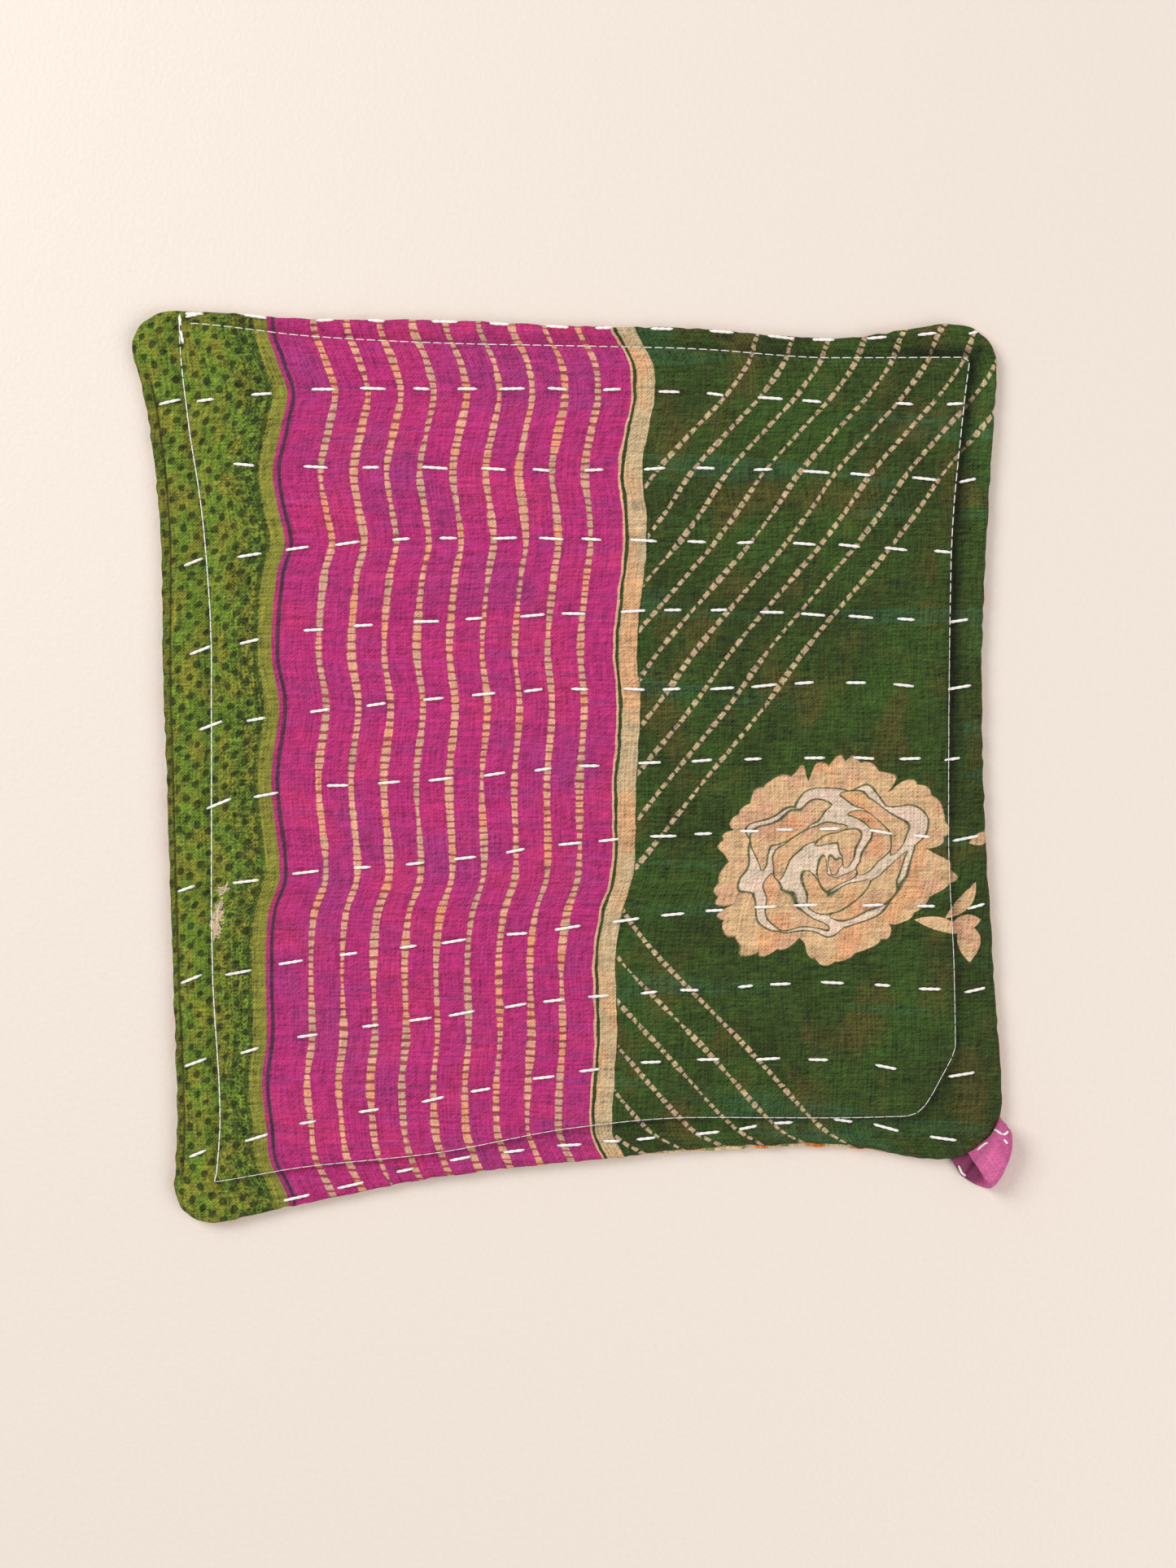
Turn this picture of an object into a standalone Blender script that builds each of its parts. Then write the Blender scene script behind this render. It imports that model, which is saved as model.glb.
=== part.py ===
"""Quilted cotton pot holder: a front panel, a back panel and a corner hanging loop.

The pad lies face up on the plane z = 0, with the printed front on top. X runs to the right and Y away
from the reader. The origin is the middle of the whole object's box, on the plane that it lies on.
Sizes are in millimetres; MM turns them into Blender's metres.
"""

import math
from collections import namedtuple

import bmesh
import bpy
from mathutils import Vector

MM = 0.001

# ---------------------------------------------------------------- thicknesses and heights

CLEARANCE = 0.3            # gap between two pieces that touch
BACK_THICKNESS = 2.05      # back cloth with its share of the hidden layers
FRONT_THICKNESS = 2.55     # front cloth with its share, at the crown between two rows
SEAM_LOW = BACK_THICKNESS                  # top of the back panel
SEAM_HIGH = SEAM_LOW + CLEARANCE           # underside of the front panel
RIM_RADIUS = 2.2           # how far in the turned edge is rounded
EDGE_LIP = 0.35            # upright part of each panel's edge at the seam

CROWN_POWER = 0.7          # below 1, the cloth between two rows stands up fuller than a sine

# How the sewing pulls a face in, measured from its full height: at a stitch, between two stitches of a
# row, and along the machine seam. `pucker` is the rise and fall of the crown from stitch to stitch, and
# `full_from` is how far into the channel between two rows the face has its full height.
Quilting = namedtuple("Quilting", "stitch_drop gap_drop seam_drop pucker full_from")
FRONT_QUILTING = Quilting(stitch_drop=0.9, gap_drop=0.5, seam_drop=0.5, pucker=0.12, full_from=0.5)
BACK_QUILTING = Quilting(stitch_drop=0.5, gap_drop=0.5, seam_drop=0.3, pucker=0.0, full_from=0.2)

# ---------------------------------------------------------------- outline, rows and columns

# Left and right edge of the pad, and the machine seam inside each, from the top to the bottom.
SideStation = namedtuple("SideStation", "y left_edge left_seam right_seam right_edge")
SIDES = (
    SideStation(y=110, left_edge=-107.8, left_seam=-95.2, right_seam=98.6, right_edge=105.2),
    SideStation(y=88, left_edge=-103.3, left_seam=-93.3, right_seam=96.4, right_edge=104.2),
    SideStation(y=60, left_edge=-100.1, left_seam=-89.3, right_seam=93.8, right_edge=102.5),
    SideStation(y=25, left_edge=-99.4, left_seam=-87.3, right_seam=93.0, right_edge=101.1),
    SideStation(y=-15, left_edge=-98.0, left_seam=-87.3, right_seam=92.8, right_edge=102.0),
    SideStation(y=-50, left_edge=-97.0, left_seam=-87.0, right_seam=94.2, right_edge=104.1),
    SideStation(y=-85, left_edge=-95.9, left_seam=-85.2, right_seam=94.5, right_edge=106.4),
    SideStation(y=-112, left_edge=-97.0, left_seam=-87.0, right_seam=94.5, right_edge=106.8),
)

# Height (Y) of each line that crosses the pad, at seven stations from left to right.
ROW_X = (-96, -64, -32, 0, 32, 64, 96)
TOP_EDGE = (112.8, 110.7, 110.4, 108.8, 108.3, 105.2, 109.8)
TOP_SEAM = (109.6, 106.4, 104.7, 104.0, 103.2, 101.1, 101.2)
STITCH_ROWS = (
    (90.4, 93.2, 93.5, 93.5, 92.4, 90.2, 89.8),
    (75.4, 74.4, 74.2, 73.6, 74.1, 73.0, 71.2),
    (51.0, 54.8, 57.0, 56.8, 56.1, 55.4, 53.6),
    (29.2, 34.4, 36.8, 38.5, 39.5, 38.1, 36.8),
    (10.7, 14.5, 17.8, 20.1, 20.1, 21.8, 20.5),
    (-8.9, -4.1, -2.0, 1.0, 2.6, 3.3, 3.0),
    (-28.8, -24.6, -22.0, -17.7, -15.3, -14.0, -16.4),
    (-51.0, -46.0, -42.0, -38.2, -34.3, -32.6, -33.0),
    (-71.6, -64.6, -60.0, -55.6, -53.3, -51.6, -53.5),
    (-95.4, -86.6, -80.3, -73.8, -70.4, -70.6, -74.2),
)
BOTTOM_SEAM = (-101.0, -96.6, -93.2, -87.3, -84.6, -84.7, -84.0)
BOTTOM_EDGE = (-111.4, -105.7, -99.4, -95.8, -93.1, -92.0, -95.4)

CornerRadii = namedtuple("CornerRadii", "top_left top_right bottom_left bottom_right")
CORNERS = CornerRadii(top_left=11.0, top_right=9.0, bottom_left=10.0, bottom_right=16.0)

RIM_STEPS = (0.0, 0.4, 1.1, RIM_RADIUS)    # distances from the edge that carry a line of points
BORDER_ROOM = 1.0          # least room between the rounded rim and the machine seam
STITCHES_PER_ROW = 11      # stitches between the two side seams, so twice as many columns
PLACING_ROUNDS = 6         # rounds in which the points of a line are placed

# ---------------------------------------------------------------- hanging loop

LOOP_ROOT = (98.0, -93.9)      # where the strip's left edge leaves the pad
LOOP_HEADING = -58.0           # degrees from +X in which the strip runs out
LOOP_SLANT = 52.0              # degrees from +X of the line across the strip
LOOP_WIDTH = 12.1              # across the strip, along that slanted line
LOOP_THICKNESS = 1.0           # the strip is folded to four layers
LOOP_CLEAR_OF_RIM = 1.4        # how far out the strip has left the rounded corner behind
LOOP_FAR_REACH = 0.6           # from there on, reach of the right edge as a share of the left edge's

# The strip's run, from the upper tucked end round the fold to the lower one: how far it is out of the
# pad's rim, how high its middle is, and how far it has slid sideways.
LoopStation = namedtuple("LoopStation", "out up slide")
LOOP_RUN = (
    LoopStation(out=-7.0, up=2.85, slide=0.0),
    LoopStation(out=-2.0, up=2.85, slide=0.0),
    LoopStation(out=1.4, up=2.85, slide=0.0),
    LoopStation(out=2.5, up=5.4, slide=0.0),
    LoopStation(out=4.6, up=6.5, slide=0.0),
    LoopStation(out=8.4, up=6.5, slide=0.0),
    LoopStation(out=10.0, up=5.1, slide=-0.3),
    LoopStation(out=10.1, up=2.2, slide=-0.8),
    LoopStation(out=9.1, up=0.65, slide=-1.6),
    LoopStation(out=6.4, up=0.55, slide=-3.0),
    LoopStation(out=3.1, up=0.6, slide=-4.2),
    LoopStation(out=1.7, up=1.5, slide=-4.6),
    LoopStation(out=-1.0, up=1.55, slide=-4.6),
    LoopStation(out=-7.0, up=1.55, slide=-4.6),
)
LOOP_STEPS = 3                 # points made between two stations
LOOP_LANES = 4                 # cells across the strip
POCKET_MARGIN = 0.5            # room beside and behind the tucked ends
POCKET_MOUTH = 7.0             # how far outside the rim the pocket's cutter reaches


# ---------------------------------------------------------------- curves

def smooth_curve(stations, values, at):
    """Value at `at` of the smooth curve through values read at rising stations.

    The curve (a cubic Hermite) runs level into its two ends, stays level past them, and is level
    wherever its values turn or pause, so that it never swings out past them.
    """
    last = len(stations) - 1
    i = 0
    while i < last - 1 and at > stations[i + 1]:
        i += 1
    step = stations[i + 1] - stations[i]
    f = (at - stations[i]) / step

    def slope(k):
        if k in (0, last) or (values[k + 1] - values[k]) * (values[k] - values[k - 1]) <= 0.0:
            return 0.0
        return (values[k + 1] - values[k - 1]) / (stations[k + 1] - stations[k - 1])

    f = min(max(f, 0.0), 1.0)
    return (values[i] * (1.0 - f * f * (3.0 - 2.0 * f))
            + slope(i) * step * f * (1.0 - f) ** 2
            + values[i + 1] * f * f * (3.0 - 2.0 * f)
            - slope(i + 1) * step * f * f * (1.0 - f))


def side_x(name, y):
    """X of one of the four side lines (left_edge, left_seam, right_seam, right_edge) at height y."""
    rising = SIDES[::-1]
    return smooth_curve([row.y for row in rising], [getattr(row, name) for row in rising], y)


def line_y(line, x):
    """Y at x of one of the lines that cross the pad. An edge is level from where its corner begins."""
    if line in (TOP_EDGE, BOTTOM_EDGE):
        at_top = line is TOP_EDGE
        left_radius = CORNERS.top_left if at_top else CORNERS.bottom_left
        right_radius = CORNERS.top_right if at_top else CORNERS.bottom_right
        first = side_x("left_edge", line[0]) + left_radius
        last = side_x("right_edge", line[-1]) - right_radius
        x = min(max(x, first), last)
    return smooth_curve(ROW_X, line, x)


# ---------------------------------------------------------------- outline

def corner_cut(radius, depth):
    """How far a corner's arc has drawn a side in, at `depth` from the edge that it runs into."""
    rest = radius - min(max(depth, 0.0), radius)
    return radius - math.sqrt(radius * radius - rest * rest)


def left_end(x, y):
    """X where the outline is at height y on the left; x, near it, is where the edges are read."""
    return side_x("left_edge", y) + max(corner_cut(CORNERS.top_left, line_y(TOP_EDGE, x) - y),
                                        corner_cut(CORNERS.bottom_left, y - line_y(BOTTOM_EDGE, x)))


def right_end(x, y):
    """X where the outline is at height y on the right; x, near it, is where the edges are read."""
    return side_x("right_edge", y) - max(corner_cut(CORNERS.top_right, line_y(TOP_EDGE, x) - y),
                                         corner_cut(CORNERS.bottom_right, y - line_y(BOTTOM_EDGE, x)))


def edge_distance(x, y):
    """Distance from a point of the pad to its outline."""
    left = x - side_x("left_edge", y)
    right = side_x("right_edge", y) - x
    top = line_y(TOP_EDGE, x) - y
    bottom = y - line_y(BOTTOM_EDGE, x)
    nearest = min(left, right, top, bottom)
    corners = ((left, top, CORNERS.top_left), (right, top, CORNERS.top_right),
               (left, bottom, CORNERS.bottom_left), (right, bottom, CORNERS.bottom_right))
    for across, along, radius in corners:
        if across < radius and along < radius:
            nearest = min(nearest, radius - math.hypot(radius - across, radius - along))
    return max(nearest, 0.0)


# ---------------------------------------------------------------- grid of a panel

# One line of points across the panel. `above` and `below` are the two lines of the tables that it lies
# between, `part` is how far down between them it is, `inset` moves it up, and `row` is the number of
# the line above it, counted from the machine seam at the top, or None in the border.
GridLine = namedtuple("GridLine", "above below part inset row")


def grid_lines(channel_parts):
    """The panel's lines from the top edge to the bottom edge.

    channel_parts are the places of the lines inside each channel between two rows.
    """
    lines = [GridLine(TOP_EDGE, TOP_EDGE, 0.0, -step, None) for step in RIM_STEPS]
    rows = (TOP_SEAM,) + STITCH_ROWS + (BOTTOM_SEAM,)
    for k, (above, below) in enumerate(zip(rows, rows[1:])):
        lines.append(GridLine(above, below, 0.0, 0.0, k))
        for part in channel_parts:
            lines.append(GridLine(above, below, part, 0.0, k))
    lines.append(GridLine(BOTTOM_SEAM, BOTTOM_SEAM, 0.0, 0.0, len(rows) - 1))
    lines.append(GridLine(BOTTOM_SEAM, BOTTOM_EDGE, 0.5, 0.0, None))
    lines += [GridLine(BOTTOM_EDGE, BOTTOM_EDGE, 0.0, step, None)
              for step in reversed(RIM_STEPS)]
    return lines


def column_places(y, left, right, columns):
    """X of each column of points at height y, on a line that runs from x = left to x = right."""
    room = RIM_RADIUS + BORDER_ROOM
    left_seam = max(side_x("left_seam", y), left + room)
    right_seam = min(side_x("right_seam", y), right - room)
    near_left = [left + step for step in RIM_STEPS]
    near_left.append((near_left[-1] + left_seam) / 2)
    near_right = [right - step for step in RIM_STEPS]
    near_right.append((near_right[-1] + right_seam) / 2)
    middle = [left_seam + (right_seam - left_seam) * k / columns for k in range(columns + 1)]
    return near_left + middle + near_right[::-1]


def place_line(line, columns):
    """Points (x, y) of one grid line, found in rounds: each column bends with the height it is at."""
    def height(x):
        return (line_y(line.above, x) * (1.0 - line.part) + line_y(line.below, x) * line.part
                + line.inset)

    count = columns + 1 + 2 * (len(RIM_STEPS) + 1)
    xs = [-100.0 + 200.0 * k / (count - 1) for k in range(count)]
    for _ in range(PLACING_ROUNDS):
        left = left_end(xs[0], height(xs[0]))
        right = right_end(xs[-1], height(xs[-1]))
        xs = [column_places(height(x), left, right, columns)[k] for k, x in enumerate(xs)]
    return [(x, height(x)) for x in xs]


def crown(part, full_from):
    """Height of the cloth between two rows, as a share of the full height: 0 on a row, 1 in between."""
    from_row = min(part, 1.0 - part)
    if from_row >= full_from:
        return 1.0
    return math.sin(math.pi / 2 * from_row / full_from) ** CROWN_POWER


def row_drop(row, stitch_index, quilting):
    """Depth of a row at one column: stitches and gaps alternate, and neighbouring rows are staggered."""
    if row in (0, len(STITCH_ROWS) + 1):
        return quilting.seam_drop
    on_stitch = (stitch_index + row) % 2 == 0
    return quilting.stitch_drop if on_stitch else quilting.gap_drop


def quilt_drop(line, column, columns, step, quilting):
    """How far the quilted face lies below its full height at one point of the grid."""
    if line.row is None:
        return 0.0
    inner = column - (len(RIM_STEPS) + 1)
    stitch_index = inner * step
    here = row_drop(line.row, stitch_index, quilting)
    if line.part > 0.0:
        after = row_drop(line.row + 1, stitch_index, quilting)
        side = -1.0 if (stitch_index + line.row) % 2 == 0 else 1.0
        height = crown(line.part, quilting.full_from)
        drop = ((here * (1.0 - line.part) + after * line.part) * (1.0 - height)
                + quilting.pucker * side * height)
    else:
        drop = here
    return max(drop, quilting.seam_drop) if inner in (0, columns) else drop


def rim_share(distance):
    """Height of the rounded rim at a distance from the edge, as a share of the full height."""
    rest = 1.0 - min(distance / RIM_RADIUS, 1.0)
    return math.sqrt(1.0 - rest * rest)


def panel_points(channel_parts, step, seam_height, facing, thickness, quilting):
    """Rows of points of a panel's quilted face.

    step is 1 where every stitch and gap has a column and 2 where only every second one has.
    facing is +1 for the face that looks up and -1 for the one that lies on the surface.
    """
    columns = 2 * STITCHES_PER_ROW // step
    lines = grid_lines(channel_parts)
    grid = []
    for r, line in enumerate(lines):
        row = []
        for c, (x, y) in enumerate(place_line(line, columns)):
            on_edge = r in (0, len(lines) - 1) or c in (0, columns + 2 * (len(RIM_STEPS) + 1))
            distance = 0.0 if on_edge else edge_distance(x, y)
            full = thickness - quilt_drop(line, c, columns, step, quilting)
            rise = EDGE_LIP + (full - EDGE_LIP) * rim_share(distance)
            row.append((x, y, seam_height + facing * rise))
        grid.append(row)
    return grid


# ---------------------------------------------------------------- hanging loop

def direction(degrees):
    """Unit vector in the plane, at an angle from +X."""
    angle = math.radians(degrees)
    return Vector((math.cos(angle), math.sin(angle), 0.0))


def loop_place(out, across, up):
    """Point of the loop, from its distance out of the rim, its place across and its height."""
    root = Vector((LOOP_ROOT[0], LOOP_ROOT[1], 0.0))
    return (root + direction(LOOP_HEADING) * out + direction(LOOP_SLANT) * across
            + Vector((0.0, 0.0, up)))


def loop_run():
    """The strip's run as a smooth list of stations."""
    knots = list(range(len(LOOP_RUN)))
    run = []
    for k in range((len(LOOP_RUN) - 1) * LOOP_STEPS + 1):
        at = k / LOOP_STEPS
        run.append(LoopStation(*(smooth_curve(knots, [getattr(s, name) for s in LOOP_RUN], at)
                                 for name in LoopStation._fields)))
    return run


def loop_middle(station, across):
    """Point on the middle of the strip's thickness."""
    reach = 1.0 - (1.0 - LOOP_FAR_REACH) * across / LOOP_WIDTH
    past_rim = max(station.out - LOOP_CLEAR_OF_RIM, 0.0)
    out = station.out - past_rim * (1.0 - reach)
    return loop_place(out, across + station.slide, station.up)


def build_loop(material):
    """The strip as one closed solid: a grid on each face of it and a wall all round."""
    run = loop_run()
    lanes = [LOOP_WIDTH * k / LOOP_LANES for k in range(LOOP_LANES + 1)]
    middle = [[loop_middle(station, across) for across in lanes] for station in run]
    faces = {1.0: [], -1.0: []}
    for r, row in enumerate(middle):
        for c, point in enumerate(row):
            along = middle[min(r + 1, len(run) - 1)][c] - middle[max(r - 1, 0)][c]
            across = row[min(c + 1, LOOP_LANES)] - row[max(c - 1, 0)]
            normal = across.cross(along).normalized()
            for side, points in faces.items():
                points.append(point + normal * side * LOOP_THICKNESS / 2)
    return build_slab("hanging_loop", faces[1.0], faces[-1.0], len(run), LOOP_LANES + 1, material)


# ---------------------------------------------------------------- meshes

def new_material(name, colour, roughness):
    material = bpy.data.materials.new(name)
    material.use_nodes = True
    shader = material.node_tree.nodes["Principled BSDF"]
    shader.inputs["Base Color"].default_value = (*colour, 1.0)
    shader.inputs["Roughness"].default_value = roughness
    shader.inputs["Metallic"].default_value = 0.0
    material.diffuse_color = (*colour, 1.0)
    return material


def finish_object(name, bm, material):
    """Turn a bmesh into an object whose faces point out, shaded smooth."""
    bmesh.ops.recalc_face_normals(bm, faces=bm.faces)
    mesh = bpy.data.meshes.new(name)
    bm.to_mesh(mesh)
    bm.free()
    mesh.shade_smooth()
    mesh.set_sharp_from_angle(angle=math.radians(40))
    mesh.materials.append(material)
    thing = bpy.data.objects.new(name, mesh)
    bpy.context.scene.collection.objects.link(thing)
    return thing


def boundary_indices(rows, columns):
    """Indices of a grid's boundary points, once round."""
    first_row = [c for c in range(columns)]
    last_column = [r * columns + columns - 1 for r in range(1, rows)]
    last_row = [(rows - 1) * columns + c for c in range(columns - 2, -1, -1)]
    first_column = [r * columns for r in range(rows - 2, 0, -1)]
    return first_row + last_column + last_row + first_column


def add_grid(bm, points, rows, columns):
    """Add a grid of points and its faces, and return its vertices."""
    verts = [bm.verts.new(Vector(point) * MM) for point in points]
    for r in range(rows - 1):
        for c in range(columns - 1):
            corner = r * columns + c
            bm.faces.new([verts[corner], verts[corner + 1], verts[corner + columns + 1],
                          verts[corner + columns]])
    return verts


def add_wall(bm, upper, lower):
    """Join two equal rings of vertices with faces."""
    for k in range(len(upper)):
        after = (k + 1) % len(upper)
        bm.faces.new([upper[k], upper[after], lower[after], lower[k]])


def build_slab(name, upper_points, lower_points, rows, columns, material):
    """A closed solid between two grids of the same size."""
    bm = bmesh.new()
    upper = add_grid(bm, upper_points, rows, columns)
    lower = add_grid(bm, lower_points, rows, columns)
    ring = boundary_indices(rows, columns)
    add_wall(bm, [upper[i] for i in ring], [lower[i] for i in ring])
    return finish_object(name, bm, material)


def build_panel(name, grid, seam_height, material):
    """A closed solid between a quilted face and the flat face at the seam."""
    rows = len(grid)
    columns = len(grid[0])
    bm = bmesh.new()
    quilted = add_grid(bm, [point for row in grid for point in row], rows, columns)
    ring = [quilted[i] for i in boundary_indices(rows, columns)]
    flat = [bm.verts.new((vert.co.x, vert.co.y, seam_height * MM)) for vert in ring]
    add_wall(bm, ring, flat)
    bm.faces.new(flat)
    return finish_object(name, bm, material)


def build_pocket_cutter():
    """The room that the loop's tucked ends take out of both panels."""
    slide = LOOP_RUN[-1].slide
    low = LOOP_RUN[-1].up - LOOP_THICKNESS / 2 - CLEARANCE
    high = LOOP_RUN[0].up + LOOP_THICKNESS / 2 + CLEARANCE
    back = LOOP_RUN[0].out - POCKET_MARGIN
    sides = (slide - POCKET_MARGIN, LOOP_WIDTH + POCKET_MARGIN)
    plan = ((back, sides[0]), (POCKET_MOUTH, sides[0]), (POCKET_MOUTH, sides[1]), (back, sides[1]))
    bm = bmesh.new()
    lower = [bm.verts.new(loop_place(out, across, low) * MM) for out, across in plan]
    upper = [bm.verts.new(loop_place(out, across, high) * MM) for out, across in plan]
    bm.faces.new(lower)
    bm.faces.new(upper)
    add_wall(bm, upper, lower)
    bmesh.ops.recalc_face_normals(bm, faces=bm.faces)
    mesh = bpy.data.meshes.new("pocket_cutter")
    bm.to_mesh(mesh)
    bm.free()
    cutter = bpy.data.objects.new("pocket_cutter", mesh)
    bpy.context.scene.collection.objects.link(cutter)
    cutter.hide_render = True
    cutter.display_type = "WIRE"
    return cutter


def cut_pocket(panel, cutter):
    modifier = panel.modifiers.new("pocket", "BOOLEAN")
    modifier.operation = "DIFFERENCE"
    modifier.object = cutter


def centre_on_origin(things):
    """Move everything so that the object's box has its middle over the origin."""
    corners = [vert.co for thing in things for vert in thing.data.vertices]
    middle_x = (min(co.x for co in corners) + max(co.x for co in corners)) / 2
    middle_y = (min(co.y for co in corners) + max(co.y for co in corners)) / 2
    for thing in things:
        thing.location = (-middle_x, -middle_y, 0.0)


def main():
    for thing in list(bpy.data.objects):
        bpy.data.objects.remove(thing, do_unlink=True)

    printed_cotton = new_material("printed_cotton", (0.42, 0.05, 0.16), 0.85)
    backing_cotton = new_material("backing_cotton", (0.70, 0.45, 0.23), 0.85)
    loop_cotton = new_material("loop_cotton", (0.60, 0.10, 0.33), 0.85)

    front_grid = panel_points(
        channel_parts=(0.16, 0.5, 0.84), step=1, seam_height=SEAM_HIGH, facing=1,
        thickness=FRONT_THICKNESS, quilting=FRONT_QUILTING)
    back_grid = panel_points(
        channel_parts=(0.2, 0.8), step=2, seam_height=SEAM_LOW, facing=-1,
        thickness=BACK_THICKNESS, quilting=BACK_QUILTING)

    front = build_panel("front_panel", front_grid, SEAM_HIGH, printed_cotton)
    back = build_panel("back_panel", back_grid, SEAM_LOW, backing_cotton)
    loop = build_loop(loop_cotton)
    cutter = build_pocket_cutter()
    cut_pocket(front, cutter)
    cut_pocket(back, cutter)
    centre_on_origin([front, back, loop])
    cutter.location = front.location


main()
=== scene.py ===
"""Looks of the quilted pot holder: printed cloth, backing cloth, hand and machine stitches, corner loop.

The pad lies face up on z = 0. Lengths are in millimetres on the pad, in the part's own outline before it
was centred, and MM and `to_world` turn them into the frame's metres. A cloth coordinate (u, v) is the
place on the printed cloth before the rows of stitches pulled it left and right.
"""

import math
from collections import namedtuple

import bpy
import numpy as np
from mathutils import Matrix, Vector


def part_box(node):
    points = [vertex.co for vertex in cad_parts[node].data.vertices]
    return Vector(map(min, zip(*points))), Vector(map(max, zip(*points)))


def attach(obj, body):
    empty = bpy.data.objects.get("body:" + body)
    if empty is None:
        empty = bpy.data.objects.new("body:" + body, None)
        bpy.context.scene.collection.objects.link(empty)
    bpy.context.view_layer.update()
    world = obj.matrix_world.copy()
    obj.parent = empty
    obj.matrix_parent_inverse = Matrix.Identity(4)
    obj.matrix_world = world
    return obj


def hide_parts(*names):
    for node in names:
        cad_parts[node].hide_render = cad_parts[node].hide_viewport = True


MM = 0.001

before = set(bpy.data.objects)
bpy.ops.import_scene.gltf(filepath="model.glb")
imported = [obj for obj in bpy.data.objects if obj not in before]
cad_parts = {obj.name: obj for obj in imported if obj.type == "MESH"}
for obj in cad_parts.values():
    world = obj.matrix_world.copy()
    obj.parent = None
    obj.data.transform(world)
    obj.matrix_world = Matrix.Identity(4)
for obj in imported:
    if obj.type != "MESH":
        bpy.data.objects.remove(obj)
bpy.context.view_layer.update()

# ---- outline, rows and seam (mm)

# Left and right edge of the pad, and the machine seam inside each, at the heights of SIDE_Y.
SIDE_Y = (-112, -85, -50, -15, 25, 60, 88, 110)
LEFT_EDGE = (-97, -95.9, -97, -98, -99.4, -100.1, -103.3, -107.8)
LEFT_SEAM = (-87, -85.2, -87, -87.3, -87.3, -89.3, -93.3, -95.2)
RIGHT_SEAM = (94.5, 94.5, 94.2, 92.8, 93, 93.8, 96.4, 98.6)
RIGHT_EDGE = (106.8, 106.4, 104.1, 102, 101.1, 102.5, 104.2, 105.2)
# The same for the top and the bottom, at the places of ROW_X.
ROW_X = (-96, -64, -32, 0, 32, 64, 96)
TOP_EDGE = (112.8, 110.9, 110.5, 109.1, 108.4, 106, 109.6)
TOP_SEAM = (109.6, 106.4, 104.7, 104, 103.2, 101.1, 101.2)
BOTTOM_SEAM = (-101, -96.6, -93.2, -87.3, -84.6, -84.7, -84)
BOTTOM_EDGE = (-111.4, -105.7, -99.4, -95.8, -93.1, -92, -95.4)
CORNER_RADII = {TOP_EDGE: (11, 11), BOTTOM_EDGE: (10, 16)}  # on the left and on the right
SEAM_CUT = ((94, -69.2), (90.2, -76.4), (87.6, -81.2), (84.2, -84.3))  # its short cut, lower right
SEAM_CUT_BULGE = 0.9  # how far that cut bends outwards

# Rows of hand stitches from the top down: heights at the places of ROW_X, and where stitches begin.
STITCH_ROWS = (
    ((112.1, 111, 110.3, 109, 108, 105.6, 107.3),
     (-94.2, -79.8, -62.2, -49.6, -34, -19.8, -6, 6, 19.6, 34, 48.4, 59.2, 72.6, 85, 97.4)),
    ((90.4, 93.2, 93.5, 93.5, 92.4, 90.2, 89.8),
     (-100.6, -91.3, -78, -63.2, -51.4, -38.4, -27.6, -17.4, -5.6, 8, 21.6, 33.4, 45.8, 56.6, 79.6,
      92)),
    ((75.4, 74.4, 74.2, 73.6, 74.1, 73, 71.2),
     (-82.4, -65.2, -50.8, -36.2, -21.8, -9.2, 3.4, 18, 30.8, 44.8, 57, 68.4, 83.6, 95.2)),
    ((51, 54.8, 57, 56.8, 56.1, 55.4, 53.6),
     (-94.6, -81.4, -69.6, -57.5, -43.5, -32, -19, -7.6, 2.7, 14.6, 28.6, 40.7, 54.4, 65.6, 76.8,
      89)),
    ((29.2, 34.4, 36.8, 38.5, 39.5, 38.1, 36.8),
     (-93.2, -80.8, -65.2, -53, -38.4, -25.6, -12.2, -2.1, 12.3, 22.9, 34.3, 46.4, 56.4, 68, 79.9,
      92.2)),
    ((10.7, 14.5, 17.8, 20.1, 20.1, 21.8, 20.5),
     (-90.6, -79.1, -63.7, -49.8, -36, -24, -11.4, 0.2, 12.8, 22.6, 34.2, 44.2, 54.8, 67.4, 79,
      91.9)),
    ((-8.9, -4.1, -2, 1, 2.6, 3.3, 3),
     (-88.8, -77.4, -59.5, -47, -34.6, -21.2, -8.8, 2.2, 16.6, 29.6, 42.5, 57.2, 69.1, 80.4, 91)),
    ((-28.8, -24.6, -22, -17.7, -15.3, -14, -16.4),
     (-96, -82.5, -68, -53, -40.2, -28.4, -15.7, -3, 6.9, 19.5, 30.3, 41.5, 50.3, 60.9, 73.1,
      83.8, 93.6)),
    ((-51, -46, -42, -38.2, -34.3, -32.6, -33),
     (-95.2, -84.4, -71.3, -56.4, -41.7, -31.5, -15.6, -3.8, 10.4, 22.2, 33, 45, 54.6, 71.4, 84.8,
      97.2)),
    ((-71.6, -64.6, -60, -55.6, -53.3, -51.6, -53.5),
     (-94.3, -80.6, -66.8, -50.9, -39.4, -29.7, -16, -6.6, 4.4, 17.2, 26.8, 41, 48.8, 61.2, 74.3,
      85.2, 96.5)),
    ((-94, -85.8, -80, -73.8, -70.4, -70.6, -74.2),
     (-93.2, -79.5, -66.3, -51.7, -36.3, -24.4, -9.2, 2.2, 17.2, 31, 45.4, 58.2, 74.6, 92.6)),
    ((-107.9, -103.8, -95.7, -91.4, -88.7, -85.2, -90.2),
     (-70.2, -57, -42.5, -29.5, -16.3, -3.2, 8.2, 16.2, 30.8, 41.2, 49.8, 64.4, 74.3, 88)),
)
STITCH_LENGTH = 6  # what shows of a hand stitch, give or take STITCH_SPREAD
STITCH_SPREAD = 1.3
STITCH_GAP = 3.4  # least room between two stitches of a row
STITCH_EDGE_ROOM = 0.9  # least room between a stitch and the rim
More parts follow.
